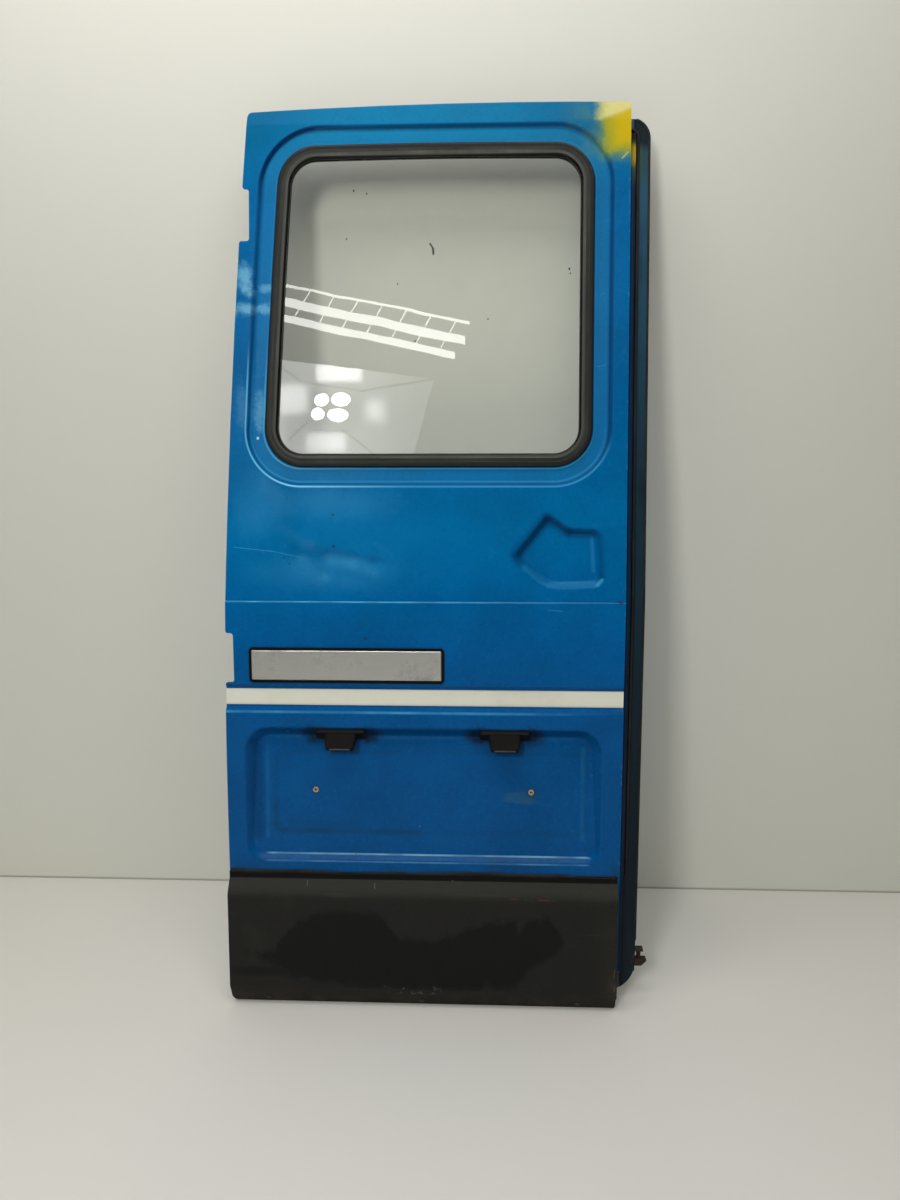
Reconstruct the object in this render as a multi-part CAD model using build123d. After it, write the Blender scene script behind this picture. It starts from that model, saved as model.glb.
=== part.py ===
from build123d import *
import os
from math import asin, atan2, cos, degrees, radians, sin, sqrt, tan

# Rear barn door leaf of a panel van turned camper: hinge edge to -X, outer face to -Y, +Z up.
# Working frame in mm: x from the hinge edge at the sill, y into the door from the lower skin,
# z up from the underside of the cladding. Pieces are written out about the lower hinge seat.

# Sheet and fits
SKIN_T = 1.2
INNER_T = 1.2
FIT = 0.3
PAST = 60.0
THROUGH = 240.0

# Front outline of the skin, with its upper half measured from the crease
SKIN_W = 686.0
SKIN_BOTTOM = 12.0
UPPER_H = 825.0
TOP_HINGE_DROP = 10.0
TOP_LOCK_DROP = 2.0
EDGE_START_Z = 300.0
EDGE_R = 16000.0
TOP_HINGE_R = 9.0
CORNER_R = 5.0
HEM_W = 11.0

# Side profile of the skin: stripe groove, crease and leaning upper half
LEDGE_Z = 532.0
LEDGE_RISE = 8.0
GROOVE_H = 46.0
GROOVE_D = 6.0
WAIST_SET = 2.0
CREASE_Z = 724.0
CREASE_STEP = 1.5
UPPER_LEAN = 5.0
TOP_BEND = 31.0
TOP_BEND_R = 22.5
TOP_TURN = 9.0
PROFILE_R = 2.5

# Number-plate recess, deeper at the top than at the bottom
RECESS_HINGE_MARGIN = 32.5
RECESS_LOCK_MARGIN = 33.5
RECESS_LOW_MARGIN = 21.0
RECESS_TOP_MARGIN = 28.0
RECESS_TOP_R = 44.0
RECESS_LOW_R = 30.0
RECESS_DRAFT = 42.0
RECESS_TOP_D = 22.0
RECESS_LOW_D = 9.0
PRESS_R = 5.0

# Handle pocket on the leaning half: corners in from the lock edge and up the slope, with their radii
POCKET_D = 12.0
POCKET_DRAFT = 42.0
POCKET_CORNERS = ((189.0, 79.0), (135.0, 21.0), (37.0, 26.0), (45.0, 124.0), (95.0, 125.0), (132.0, 151.0))
POCKET_RADII = (16.0, 70.0, 17.0, 14.0, 16.0, 16.0)

# Window: outline of the rubber, measured from the edges and along the slope
WINDOW_HINGE_MARGIN = 58.5
WINDOW_LOCK_MARGIN = 58.0
WINDOW_LOW = 227.0
WINDOW_TOP_MARGIN = 67.0
WINDOW_CAMBER = 3.0
WINDOW_R = 66.0
SURROUND_GROW = 28.0
SURROUND_LOW_GROW = 34.5
SURROUND_LOW_SPREAD = 2.1
SURROUND_D = 5.0
SURROUND_DRAFT = 50.0
RUBBER_W = 23.0
RUBBER_H = 7.5
RUBBER_R = 5.0
RUBBER_GRIP = 12.0
RUBBER_WEB = 4.0
RUBBER_BACK_T = 2.6
RUBBER_BACK_IN = 4.0
FILLER_W = 5.0
FILLER_D = 2.0
FILLER_IN = 9.5
GLASS_T = 4.0
GLASS_PLAY = 0.2

# Inner frame
FRAME_D = 46.0
PAN_IN = 16.0
LOCK_WALL_IN = 20.0
SEAM_RISE = 160.0
REVEAL_GROW = 8.0

# Hinge notches in the skin and flat hinge seats in the frame behind them
NOTCH_H = 86.0
NOTCH_D = 14.0
NOTCH_R = 5.0
NOTCH_MOUTH_R = 4.0
UPPER_HINGE_DROP = 179.0
LOWER_HINGE_Z = 625.0
SEAT_H = 130.0
SEAT_STEP = 2.5
HINGE_PLATE_T = 4.0
HINGE_PLATE_W = 28.0
HINGE_PLATE_H = 112.0
HINGE_BOLT_D = 9.0
HINGE_BOLT_GAP = 56.0

# Access holes, beads and drain slots of the lower inner panel
ACCESS_MARGIN = 86.0
ACCESS_H = 176.0
ACCESS_R = 34.0
ACCESS_GAP = 62.0
ACCESS_Z = 392.0
ACCESS_RIM = 6.0
BEAD_MARGIN = 108.0
BEAD_W = 34.0
BEAD_D = 5.0
BEAD_DRAFT = 45.0
BEAD_RISES = (-112.0, -48.0, 72.0)
LATCH_HOLE_W = 46.0
LATCH_HOLE_H = 96.0
LATCH_HOLE_IN = 62.0
DRAIN_W = 54.0
DRAIN_H = 18.0
DRAIN_Z = 84.0
DRAIN_PITCH = 150.0
DRAIN_COUNT = 4
RELIEF_D = 44.0
RELIEF_Z = 190.0

# Closing flange along the lock edge with its bulb seal and edge trim
LEDGE_GAP = 2.0
LEDGE_D = 17.0
STEP_OUT = 10.0
FLANGE_D = 30.0
FLANGE_OUT = 35.0
FLANGE_BACK = 40.0
FLANGE_BOTTOM = 14.0
FLANGE_TOP_DROP = 21.0
FLANGE_TOP_R = 33.0
FLANGE_LOW_R = 55.0
STEP_LOW_Z = 60.0
STEP_TOP_DROP = 49.0
SEAL_IN = 18.0
SEAL_W = 5.0
SEAL_H = 7.0
SEAL_R = 2.2
SEAL_LOW_Z = 240.0
TRIM_T = 1.2
TRIM_LAP = 2.5
TRIM_LOW_Z = 112.0

# Striker low on the closing flange
STRIKER_PLATE_T = 4.0
STRIKER_LOW_Z = 62.0
STRIKER_LOW_T = 12.0
STRIKER_TOP_Z = 93.0
STRIKER_TOP_T = 4.0
STRIKER_IN = 20.0
STRIKER_TOP_OUT = 15.0
STRIKER_LOW_OUT = 21.0
STRIKER_DEPTH = 14.0
STRIKER_CUT = 9.0
STRIKER_PIN_D = 8.0
STRIKER_PIN_OUT = 8.0
STRIKER_MARGIN = 10.0

# Lower cladding
CLAD_LOCK_MARGIN = 4.0
CLAD_H = 243.0
CLAD_OUT = 22.0
CLAD_LIP = 3.0
CLAD_LIP_H = 12.0
CLAD_SLOPE_H = 22.0
CLAD_DRAFT = 2.0
CLAD_FOOT_H = 38.0
CLAD_FOOT_OUT = 4.0
CLAD_T = 3.0
CLAD_EDGE_R = 5.0
CLAD_SHOULDER_R = 14.0
CLAD_HINGE_R = 14.0
CLAD_CORNER_R = 6.0
SCREW_MARGIN = 67.0
SCREW_RISE = 12.0
SCREW_D = 10.0
SCREW_H = 2.5
SCREW_DOME_R = 2.0

# Stripe, blank nameplate, plate lamps and plate fixings
STRIPE_T = 0.8
STRIPE_PLAY = 0.5
NAME_X = 44.5
NAME_RISE = 5.0
NAME_W = 336.0
NAME_H = 61.0
NAME_T = 3.0
NAME_R = 7.0
NAME_BORDER = 5.0
NAME_FACE_T = 1.5
NAME_BEVEL = 0.9
LAMP_PITCH = 284.5
LAMP_BASE_W = 87.0
LAMP_BASE_H = 22.0
LAMP_BASE_T = 8.0
LAMP_BODY_W = 58.0
LAMP_BODY_H = 20.0
LAMP_BODY_T = 26.0
LAMP_BODY_R = 7.0
LAMP_DRAFT = 12.0
LAMP_LENS_W = 36.0
LAMP_LENS_H = 5.5
LAMP_LENS_T = 1.5
PLATE_FIX_RISE = 124.0
PLATE_FIX_GAP = 378.0
GROMMET_D = 10.0
GROMMET_FACE = 2.0
GROMMET_SHANK_D = 7.0
GROMMET_SHANK = 10.0
GROMMET_BORE = 5.0

# Values worked out from the sizes above
LEAN = radians(UPPER_LEAN)
CREASE_Y = WAIST_SET + CREASE_STEP
HEM_T = 2 * SKIN_T + INNER_T
TOP_MID_Z = CREASE_Z + UPPER_H
TOP_HINGE_Z = TOP_MID_Z - TOP_HINGE_DROP
TOP_LOCK_Z = TOP_MID_Z - TOP_LOCK_DROP
BEND_Z = TOP_MID_Z - TOP_BEND
PROFILE_TOP = TOP_MID_Z + PAST
PROFILE_LOW = SKIN_BOTTOM - PAST
GROOVE_TOP_Z = LEDGE_Z + GROOVE_H
SEAM_Z = CREASE_Z + SEAM_RISE
UPPER_HINGE_Z = TOP_MID_Z - UPPER_HINGE_DROP
WINDOW_HIGH = UPPER_H / cos(LEAN) - WINDOW_TOP_MARGIN
RECESS_BOTTOM = CLAD_H + RECESS_LOW_MARGIN
RECESS_TOP = LEDGE_Z - RECESS_TOP_MARGIN
RECESS_H = RECESS_TOP - RECESS_BOTTOM
RECESS_W = SKIN_W - RECESS_HINGE_MARGIN - RECESS_LOCK_MARGIN
RECESS_MID = RECESS_HINGE_MARGIN + RECESS_W / 2
RECESS_TILT = atan2(RECESS_TOP_D - RECESS_LOW_D, RECESS_H)
FLANGE_EDGE = SKIN_W + FLANGE_OUT
FLANGE_TOP = TOP_MID_Z - FLANGE_TOP_DROP
STEP_TOP_Z = TOP_MID_Z - STEP_TOP_DROP
ACCESS_W = (SKIN_W - ACCESS_GAP) / 2 - ACCESS_MARGIN
BEAD_L = SKIN_W - 2 * BEAD_MARGIN
CLAD_W = SKIN_W - CLAD_LOCK_MARGIN
FLOOR_W = -SURROUND_D
GRIP_W = FLOOR_W - SKIN_T - INNER_T
GLASS_BACK_W = FLOOR_W - GLASS_T - 2 * GLASS_PLAY
RUBBER_BACK_W = GLASS_BACK_W - RUBBER_BACK_T
RUBBER_TOP_W = FLOOR_W + RUBBER_H
FRAME_BACK_W = -(FRAME_D - CREASE_Y) * cos(LEAN)


def hinge_edge_x(z):
    """Place of the hinge edge of the skin at one height."""
    return EDGE_R - sqrt(EDGE_R**2 - max(0.0, z - EDGE_START_Z) ** 2)


def seat_x(hinge_z):
    """Place of the flat hinge seat in the frame behind one notch, clear of the swept wall at its top end."""
    return hinge_edge_x(hinge_z + SEAT_H / 2) + PAN_IN + SEAT_STEP


def frame_y(depth, z):
    """How far into the door a plain frame surface lies at one height."""
    return depth + max(0.0, z - CREASE_Z) * tan(LEAN)


HINGE_Y = (SKIN_T + FRAME_D) / 2
ORIGIN = (seat_x(LOWER_HINGE_Z), HINGE_Y, LOWER_HINGE_Z)

# Drawing planes: upright lower half, leaning upper half, tilted floor of the plate recess
FRONT = Plane(origin=(0, 0, 0), x_dir=(1, 0, 0), z_dir=(0, -1, 0))
UPPER = Plane(origin=(0, CREASE_Y, CREASE_Z), x_dir=(1, 0, 0), z_dir=(0, -cos(LEAN), sin(LEAN)))
RECESS_FLOOR = Plane(
    origin=(SKIN_W / 2, RECESS_LOW_D, RECESS_BOTTOM),
    x_dir=(1, 0, 0),
    z_dir=(0, -cos(RECESS_TILT), sin(RECESS_TILT)),
)


def skin_line(depth):
    """Side view of the skin's outer face, moved into the door by a depth."""
    bend_y = CREASE_Y + (BEND_Z - CREASE_Z) * tan(LEAN)
    top_y = bend_y + (PROFILE_TOP - BEND_Z) * tan(LEAN + radians(TOP_TURN))
    points = [
        (0, PROFILE_LOW),
        (0, LEDGE_Z),
        (GROOVE_D, LEDGE_Z + LEDGE_RISE),
        (GROOVE_D, GROOVE_TOP_Z - GROOVE_D + WAIST_SET),
        (WAIST_SET, GROOVE_TOP_Z),
        (WAIST_SET, CREASE_Z - CREASE_STEP),
        (CREASE_Y, CREASE_Z),
        (bend_y, BEND_Z),
        (top_y, PROFILE_TOP),
    ]
    radii = [PROFILE_R, PROFILE_R, PROFILE_R, PROFILE_R, 0, 0, TOP_BEND_R]
    return FilletPolyline(*[(y + depth, z) for y, z in points], radius=radii)


def frame_line(depth):
    """Side view of a plain frame surface at one depth behind the lower skin."""
    top_y = frame_y(depth, PROFILE_TOP)
    return Polyline((depth, PROFILE_LOW), (depth, CREASE_Z), (top_y, PROFILE_TOP))


def prism(sketch):
    """Front-view sketch carried right through the door."""
    return extrude(FRONT.offset(PAST) * sketch, amount=-THROUGH)


def sheet(front, back, sketch):
    """Sheet between two side-view lines, trimmed by a front-view sketch."""
    outline = Curve() + [front, Line(front @ 1, back @ 1), back, Line(back @ 0, front @ 0)]
    profile = make_face(outline.edges())
    across = extrude(Plane.YZ.offset(-PAST) * profile, amount=SKIN_W + THROUGH)
    return across & prism(sketch)


def span(x_low, x_high, z_low, z_high):
    """Front-view rectangle from its limits."""
    return Pos((x_low + x_high) / 2, (z_low + z_high) / 2) * Rectangle(x_high - x_low, z_high - z_low)


def round_corners(face, point, radius):
    """Rounds the corner of a face nearest to a point."""
    return fillet(face.vertices().sort_by_distance((*point, 0))[0], radius)


def drafted(plane, outline, rise, draft, grow=0.0):
    """Outline carried off a plane, or into it where the rise is negative, and drawn in by its draft."""
    end = outline(grow - abs(rise) * tan(radians(draft)))
    return loft([plane * outline(grow), plane.offset(rise) * end], ruled=True)


def press(plane, outline, rise, draft, thickness):
    """Sheet block to add and punch to cut for a drafted pocket pressed in from a plane."""
    deeper = rise + (thickness if rise > 0 else -thickness)
    block = drafted(plane, outline, deeper, draft, thickness / cos(radians(draft)))
    return block, drafted(plane, outline, rise, draft)


def door_outline():
    """Front outline of the skin: swept hinge edge, cambered top and straight lock edge."""
    turn = degrees(asin((TOP_HINGE_Z - EDGE_START_Z) / EDGE_R))
    low = Line((0, SKIN_BOTTOM), (0, EDGE_START_Z))
    edge = JernArc(low @ 1, (0, 1), EDGE_R, -turn)
    top_hinge = edge @ 1
    top = ThreePointArc(top_hinge, ((top_hinge.X + SKIN_W) / 2, TOP_MID_Z), (SKIN_W, TOP_LOCK_Z))
    lock = Line(top @ 1, (SKIN_W, SKIN_BOTTOM))
    sill = Line(lock @ 1, low @ 0)
    face = make_face((Curve() + [low, edge, top, lock, sill]).edges())
    face = round_corners(face, (top_hinge.X, top_hinge.Y), TOP_HINGE_R)
    for corner in ((SKIN_W, TOP_LOCK_Z), (SKIN_W, SKIN_BOTTOM), (0, SKIN_BOTTOM)):
        face = round_corners(face, corner, CORNER_R)
    return face


def hinge_notches(outline):
    """Front-view notches that clear the two hinge arms, with the corners of their mouths eased."""
    left = outline
    for hinge_z in (LOWER_HINGE_Z, UPPER_HINGE_Z):
        inner_x = hinge_edge_x(hinge_z) + NOTCH_D
        left -= Pos(inner_x - PAST / 2, hinge_z) * RectangleRounded(PAST, NOTCH_H, NOTCH_R)
        for mouth_z in (hinge_z - NOTCH_H / 2, hinge_z + NOTCH_H / 2):
            left = round_corners(left, (hinge_edge_x(mouth_z), mouth_z), NOTCH_MOUTH_R)
    return outline - left


def window_outline(grow, low_grow=None):
    """Line around the window, outside the rubber by an amount, or inside it, and by another amount below."""
    low, high = WINDOW_LOW - (grow if low_grow is None else low_grow), WINDOW_HIGH + grow
    lock_x = SKIN_W - WINDOW_LOCK_MARGIN + grow

    def hinge_side(rise):
        return (hinge_edge_x(CREASE_Z + rise * cos(LEAN)) + WINDOW_HINGE_MARGIN - grow, rise)

    top_mid = ((hinge_side(high)[0] + lock_x) / 2, high + WINDOW_CAMBER)
    left = ThreePointArc(hinge_side(low), hinge_side((low + high) / 2), hinge_side(high))
    top = ThreePointArc(left @ 1, top_mid, (lock_x, high))
    rest = Polyline(top @ 1, (lock_x, low), left @ 0)
    face = make_face((Curve() + [left, top, rest]).edges())
    return fillet(face.vertices(), WINDOW_R + grow)


def surround_outline(grow):
    """Rim of the pressed surround that the window rubber sits in; its lower wall slopes more gently."""
    return window_outline(SURROUND_GROW + grow, SURROUND_LOW_GROW + SURROUND_LOW_SPREAD * grow)


def pocket_outline(grow):
    """Handle pocket with a peaked top and a bellied lower edge; its one inner corner tightens as it grows."""
    corners = [Vector(SKIN_W - inward, rise) for inward, rise in POCKET_CORNERS]
    moved, radii = [], []
    for index, here in enumerate(corners):
        into = (here - corners[index - 1]).normalized()
        away = (corners[(index + 1) % len(corners)] - here).normalized()
        sides = Vector(into.Y + away.Y, -into.X - away.X)
        moved.append(here + sides * (grow / (1 + into.dot(away))))
        radii.append(POCKET_RADII[index] + (grow if into.cross(away).Z > 0 else -grow))
    return make_face(FilletPolyline(*moved, radius=radii, close=True).edges())


def recess_outline(grow):
    """Front outline of the number-plate recess."""
    sides = (RECESS_MID - RECESS_W / 2 - grow, RECESS_MID + RECESS_W / 2 + grow)
    face = span(*sides, RECESS_BOTTOM - grow, RECESS_TOP + grow)
    for x in sides:
        face = round_corners(face, (x, RECESS_TOP + grow), RECESS_TOP_R + grow)
        face = round_corners(face, (x, RECESS_BOTTOM - grow), RECESS_LOW_R + grow)
    return face


def bead_outline(z):
    """Long round-ended bead at one height, as an outline that can grow."""
    middle = Pos(SKIN_W / 2 - LATCH_HOLE_W / 2, z)
    return lambda grow: middle * SlotOverall(BEAD_L + 2 * grow, BEAD_W + 2 * grow)


OUTLINE = door_outline()
NOTCHES = hinge_notches(OUTLINE)


def window_ring(outer, inner, low, high):
    """Ring around the window between two insets and two heights off the leaning face."""
    return extrude(UPPER.offset(low) * (window_outline(-outer) - window_outline(-inner)), amount=high - low)


def recess_front(behind):
    """Everything in front of the recess floor, or of a plane a little behind it."""
    area = Rectangle(SKIN_W + THROUGH, 2 * RECESS_H + THROUGH)
    return extrude(RECESS_FLOOR.offset(-behind) * area, amount=THROUGH)


def rim_edges(solid, punch_rim):
    """Edges of a solid that lie where a punch enters it."""
    centres = [edge.center() for edge in punch_rim]

    def reach(edge):
        return min((edge.center() - centre).length for centre in centres)

    return [edge for edge in solid.edges() if reach(edge) < FIT]


def outer_skin():
    """Pressed skin with hemmed edge, stripe groove, window surround, handle pocket and plate recess."""
    area = OUTLINE - NOTCHES
    skin = sheet(skin_line(0), skin_line(SKIN_T), area)
    skin += sheet(skin_line(0), skin_line(HEM_T), area - offset(OUTLINE, -SKIN_T))
    skin += sheet(skin_line(SKIN_T + INNER_T), skin_line(HEM_T), area - offset(OUTLINE, -HEM_W))

    block, punch = press(FRONT, recess_outline, -RECESS_TOP_D, RECESS_DRAFT, SKIN_T)
    recess = (block & recess_front(SKIN_T), punch & recess_front(0))
    pocket = press(UPPER, pocket_outline, -POCKET_D, POCKET_DRAFT, SKIN_T)
    surround = press(UPPER, surround_outline, -SURROUND_D, SURROUND_DRAFT, SKIN_T)
    for plane, (block, punch) in ((FRONT, recess), (UPPER, pocket), (UPPER, surround)):
        faces = punch.faces().sort_by(Axis(plane.origin, plane.z_dir))
        rim = faces[-1].edges()
        skin = skin + block - fillet(faces[0].edges(), PRESS_R)
        skin = fillet(rim_edges(skin, rim), PRESS_R)

    skin -= extrude(UPPER.offset(PAST) * window_outline(-RUBBER_GRIP), amount=-THROUGH)
    for place in plate_fixings():
        skin -= Plane(place, z_dir=(0, 1, 0)) * Cylinder(GROMMET_SHANK_D / 2 + FIT, PAST)
    return skin


def plate_fixings():
    """Middles of the two number-plate fixings on the recess floor."""
    floor_y = RECESS_LOW_D + PLATE_FIX_RISE * tan(RECESS_TILT)
    xs = [RECESS_MID + side * PLATE_FIX_GAP / 2 for side in (-1, 1)]
    return [(x, floor_y, RECESS_BOTTOM + PLATE_FIX_RISE) for x in xs]


def pan_outline(inset):
    """Front outline of the inner frame's side wall, with flat hinge seats, drawn in by an inset."""
    lock_side = span(-PAST, SKIN_W - LOCK_WALL_IN - inset, PROFILE_LOW, PROFILE_TOP)
    pan = offset(OUTLINE, -PAN_IN - inset) & lock_side
    reach = SEAT_H / 2 + inset
    for hinge_z in (LOWER_HINGE_Z, UPPER_HINGE_Z):
        pan -= span(-PAST, seat_x(hinge_z) + inset, hinge_z - reach, hinge_z + reach)
    return pan


def flange_outline():
    """Front outline of the closing flange."""
    face = span(SKIN_W - FLANGE_BACK, FLANGE_EDGE, FLANGE_BOTTOM, FLANGE_TOP)
    face = round_corners(face, (FLANGE_EDGE, FLANGE_TOP), FLANGE_TOP_R)
    return round_corners(face, (FLANGE_EDGE, FLANGE_BOTTOM), FLANGE_LOW_R)


PAN = pan_outline(0)
FLANGE = flange_outline()


def hinge_bores():
    """Bolt holes through the two hinge seats."""
    bores = Part()
    for hinge_z in (LOWER_HINGE_Z, UPPER_HINGE_Z):
        for side in (-1, 1):
            bolt_z = hinge_z + side * HINGE_BOLT_GAP / 2
            middle = (seat_x(hinge_z), frame_y(HINGE_Y, hinge_z), bolt_z)
            bores += Plane(middle, z_dir=(1, 0, 0)) * Cylinder(HINGE_BOLT_D / 2, PAST)
    return bores


def frame_pan():
    """Inner frame as one pan: hem flange, side wall, back face and welding flange at the lock edge."""
    wall_in = pan_outline(INNER_T)
    keep = span(-PAST, SKIN_W - LOCK_WALL_IN, PROFILE_LOW, PROFILE_TOP)
    hem_area = (offset(OUTLINE, -SKIN_T - FIT) & keep) - NOTCHES - wall_in
    pan = sheet(frame_line(FRAME_D - INNER_T), frame_line(FRAME_D), PAN)
    pan += sheet(skin_line(SKIN_T), frame_line(FRAME_D), PAN - wall_in)
    pan += sheet(skin_line(SKIN_T), skin_line(SKIN_T + INNER_T), hem_area)
    lock_wall = span(SKIN_W - LOCK_WALL_IN - 2 * INNER_T, SKIN_W, PROFILE_LOW, PROFILE_TOP)
    pan -= sheet(skin_line(0), frame_line(FLANGE_D), lock_wall)
    flange = FLANGE & span(SKIN_W - LOCK_WALL_IN - INNER_T, FLANGE_EDGE, PROFILE_LOW, PROFILE_TOP)
    pan += sheet(frame_line(FLANGE_D), frame_line(FLANGE_D + INNER_T), flange)
    return pan - hinge_bores()


def slot_row(z, width, height, pitch, count):
    """Row of round-ended slots across the middle of the panel."""
    row = Sketch()
    for index in range(count):
        x = SKIN_W / 2 + (index - (count - 1) / 2) * pitch
        row += Pos(x, z) * RectangleRounded(width, height, height / 2 - FIT)
    return row


def inner_panel(pan):
    """Lower inner panel with flanged access holes, beads, latch opening, relief holes and drain slots."""
    panel = pan & prism(span(-PAST, SKIN_W + PAST, PROFILE_LOW, SEAM_Z))
    back = FRONT.offset(-FRAME_D)
    for rise in BEAD_RISES:
        upright = rise < 0
        plane = back if upright else UPPER.offset(FRAME_BACK_W)
        outline = bead_outline(CREASE_Z + rise if upright else rise)
        block, punch = press(plane, outline, BEAD_D, BEAD_DRAFT, INNER_T)
        panel = panel + block - punch
    pitch = ACCESS_W + ACCESS_GAP
    for side in (-1, 1):
        hole = Pos(SKIN_W / 2 + side * pitch / 2, ACCESS_Z) * RectangleRounded(ACCESS_W, ACCESS_H, ACCESS_R)
        rim = hole - offset(hole, -INNER_T)
        panel -= prism(hole) & sheet(frame_line(FLANGE_D), frame_line(FRAME_D + PAST), hole)
        panel += sheet(frame_line(FRAME_D - ACCESS_RIM), frame_line(FRAME_D), rim)
    holes = slot_row(DRAIN_Z, DRAIN_W, DRAIN_H, DRAIN_PITCH, DRAIN_COUNT)
    holes += slot_row(RELIEF_Z, RELIEF_D, RELIEF_D, DRAIN_PITCH, DRAIN_COUNT)
    latch = (SKIN_W - LOCK_WALL_IN - LATCH_HOLE_IN, (GROOVE_TOP_Z + CREASE_Z) / 2)
    holes += Pos(*latch) * RectangleRounded(LATCH_HOLE_W, LATCH_HOLE_H, CORNER_R)
    return panel - sheet(frame_line(FLANGE_D), frame_line(FRAME_D + PAST), holes)


def window_frame(pan):
    """Upper inner frame around the window with its reveal and the flange that the rubber grips."""
    frame = pan & prism(span(-PAST, SKIN_W + PAST, SEAM_Z, PROFILE_TOP))
    frame -= extrude(UPPER * window_outline(REVEAL_GROW), amount=-THROUGH)
    frame += window_ring(-REVEAL_GROW, -REVEAL_GROW + INNER_T, FRAME_BACK_W, GRIP_W)
    frame += window_ring(-REVEAL_GROW, RUBBER_GRIP, GRIP_W, GRIP_W + INNER_T)
    return frame


def closing_flange():
    """Stepped side closing along the lock edge that the other leaf shuts onto."""
    low, top = STEP_LOW_Z, STEP_TOP_Z
    ledge_x = SKIN_W - HEM_W - LEDGE_GAP
    step_x = SKIN_W + STEP_OUT
    inner_lip = span(SKIN_W - LOCK_WALL_IN + FIT, SKIN_W - SKIN_T - FIT, low, top)
    ledge = span(ledge_x - INNER_T, step_x, low, top)
    closing = sheet(skin_line(SKIN_T), skin_line(SKIN_T + INNER_T), inner_lip)
    closing += sheet(skin_line(SKIN_T), frame_line(LEDGE_D), span(ledge_x - INNER_T, ledge_x, low, top))
    closing += sheet(frame_line(LEDGE_D - INNER_T), frame_line(LEDGE_D), ledge)
    step_wall = span(step_x - INNER_T, step_x, low, top)
    closing += sheet(frame_line(LEDGE_D - INNER_T), frame_line(FLANGE_D), step_wall)
    face = FLANGE & span(step_x - INNER_T, FLANGE_EDGE, PROFILE_LOW, PROFILE_TOP)
    return closing + sheet(frame_line(FLANGE_D - INNER_T), frame_line(FLANGE_D), face)


def flange_seal():
    """Bulb seal along the closing flange, turned in at its rounded top corner."""
    band = offset(FLANGE, -SEAL_IN) - offset(FLANGE, -SEAL_IN - SEAL_W)
    band = band & span(SKIN_W + LEDGE_GAP, FLANGE_EDGE, SEAL_LOW_Z, PROFILE_TOP)
    foot = FLANGE_D - INNER_T
    crest = foot - SEAL_H
    seal = sheet(frame_line(crest), frame_line(foot), band)
    middles = [(edge, edge.center()) for edge in seal.edges() if edge.length > SEAL_W + FIT]
    rims = [edge for edge, middle in middles if abs(middle.Y - frame_y(crest, middle.Z)) < FIT]
    return fillet(rims, SEAL_R)


def flange_trim():
    """Rubber edge trim pinched over the double edge of the closing flange."""
    band = offset(FLANGE, TRIM_T) - offset(FLANGE, -TRIM_LAP)
    band = band & span(SKIN_W + STEP_OUT + TRIM_LAP, FLANGE_EDGE + PAST, TRIM_LOW_Z, PROFILE_TOP)
    front, back = FLANGE_D - INNER_T, FLANGE_D + INNER_T
    trim = sheet(frame_line(front - TRIM_T), frame_line(back + TRIM_T), band)
    return trim - sheet(frame_line(front), frame_line(back), FLANGE)


def hinge_plate(hinge_z, lean):
    """Reinforcing plate behind one hinge seat."""
    place = Location((seat_x(hinge_z) + INNER_T, frame_y(HINGE_Y, hinge_z), hinge_z), (-lean, 0, 0))
    plate = Box(HINGE_PLATE_T, HINGE_PLATE_W, HINGE_PLATE_H, align=(Align.MIN, Align.CENTER, Align.CENTER))
    return place * fillet(plate.edges().filter_by(Axis.X), CORNER_R) - hinge_bores()


def window_gasket():
    """Window rubber: rounded face, web between sheet and glass, and inner lip."""
    face = window_ring(0, RUBBER_W, FLOOR_W, RUBBER_TOP_W)
    crest = face.faces().sort_by(Axis(UPPER.origin, UPPER.z_dir))[-1]
    face = fillet(crest.edges(), RUBBER_R)
    web_in = RUBBER_GRIP + FIT
    rubber = face + window_ring(web_in, web_in + RUBBER_WEB, GLASS_BACK_W, FLOOR_W)
    rubber += window_ring(RUBBER_BACK_IN, RUBBER_W, RUBBER_BACK_W, GLASS_BACK_W)
    rubber += window_ring(RUBBER_BACK_IN, web_in, GLASS_BACK_W, GRIP_W)
    return rubber - window_ring(FILLER_IN, FILLER_IN + FILLER_W, RUBBER_TOP_W - FILLER_D, RUBBER_TOP_W)


def window_glass():
    """Flat pane held in the groove of the rubber."""
    pane = window_outline(-RUBBER_GRIP - RUBBER_WEB - 2 * FIT)
    return extrude(UPPER.offset(GLASS_BACK_W + GLASS_PLAY) * pane, amount=GLASS_T)


def striker_bracket():
    """Two-eared striker bracket on the back of the closing flange."""
    back = FLANGE_D + INNER_T
    low, high = STRIKER_LOW_Z - STRIKER_MARGIN, STRIKER_TOP_Z + STRIKER_MARGIN
    base_x = FLANGE_EDGE - STRIKER_IN
    plate = sheet(frame_line(back), frame_line(back + STRIKER_PLATE_T), span(base_x, FLANGE_EDGE, low, high))
    depth = frame_line(back + STRIKER_DEPTH)
    top_z = STRIKER_TOP_Z - STRIKER_TOP_T
    top_ear = span(base_x, FLANGE_EDGE + STRIKER_TOP_OUT, top_z, STRIKER_TOP_Z)
    low_ear = span(base_x, FLANGE_EDGE + STRIKER_LOW_OUT, STRIKER_LOW_Z, STRIKER_LOW_Z + STRIKER_LOW_T)
    corner = low_ear.vertices().sort_by_distance((FLANGE_EDGE + STRIKER_LOW_OUT, STRIKER_LOW_Z, 0))[0]
    low_ear = chamfer(corner, STRIKER_CUT)
    return plate + sheet(frame_line(back), depth, top_ear) + sheet(frame_line(back), depth, low_ear)


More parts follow.
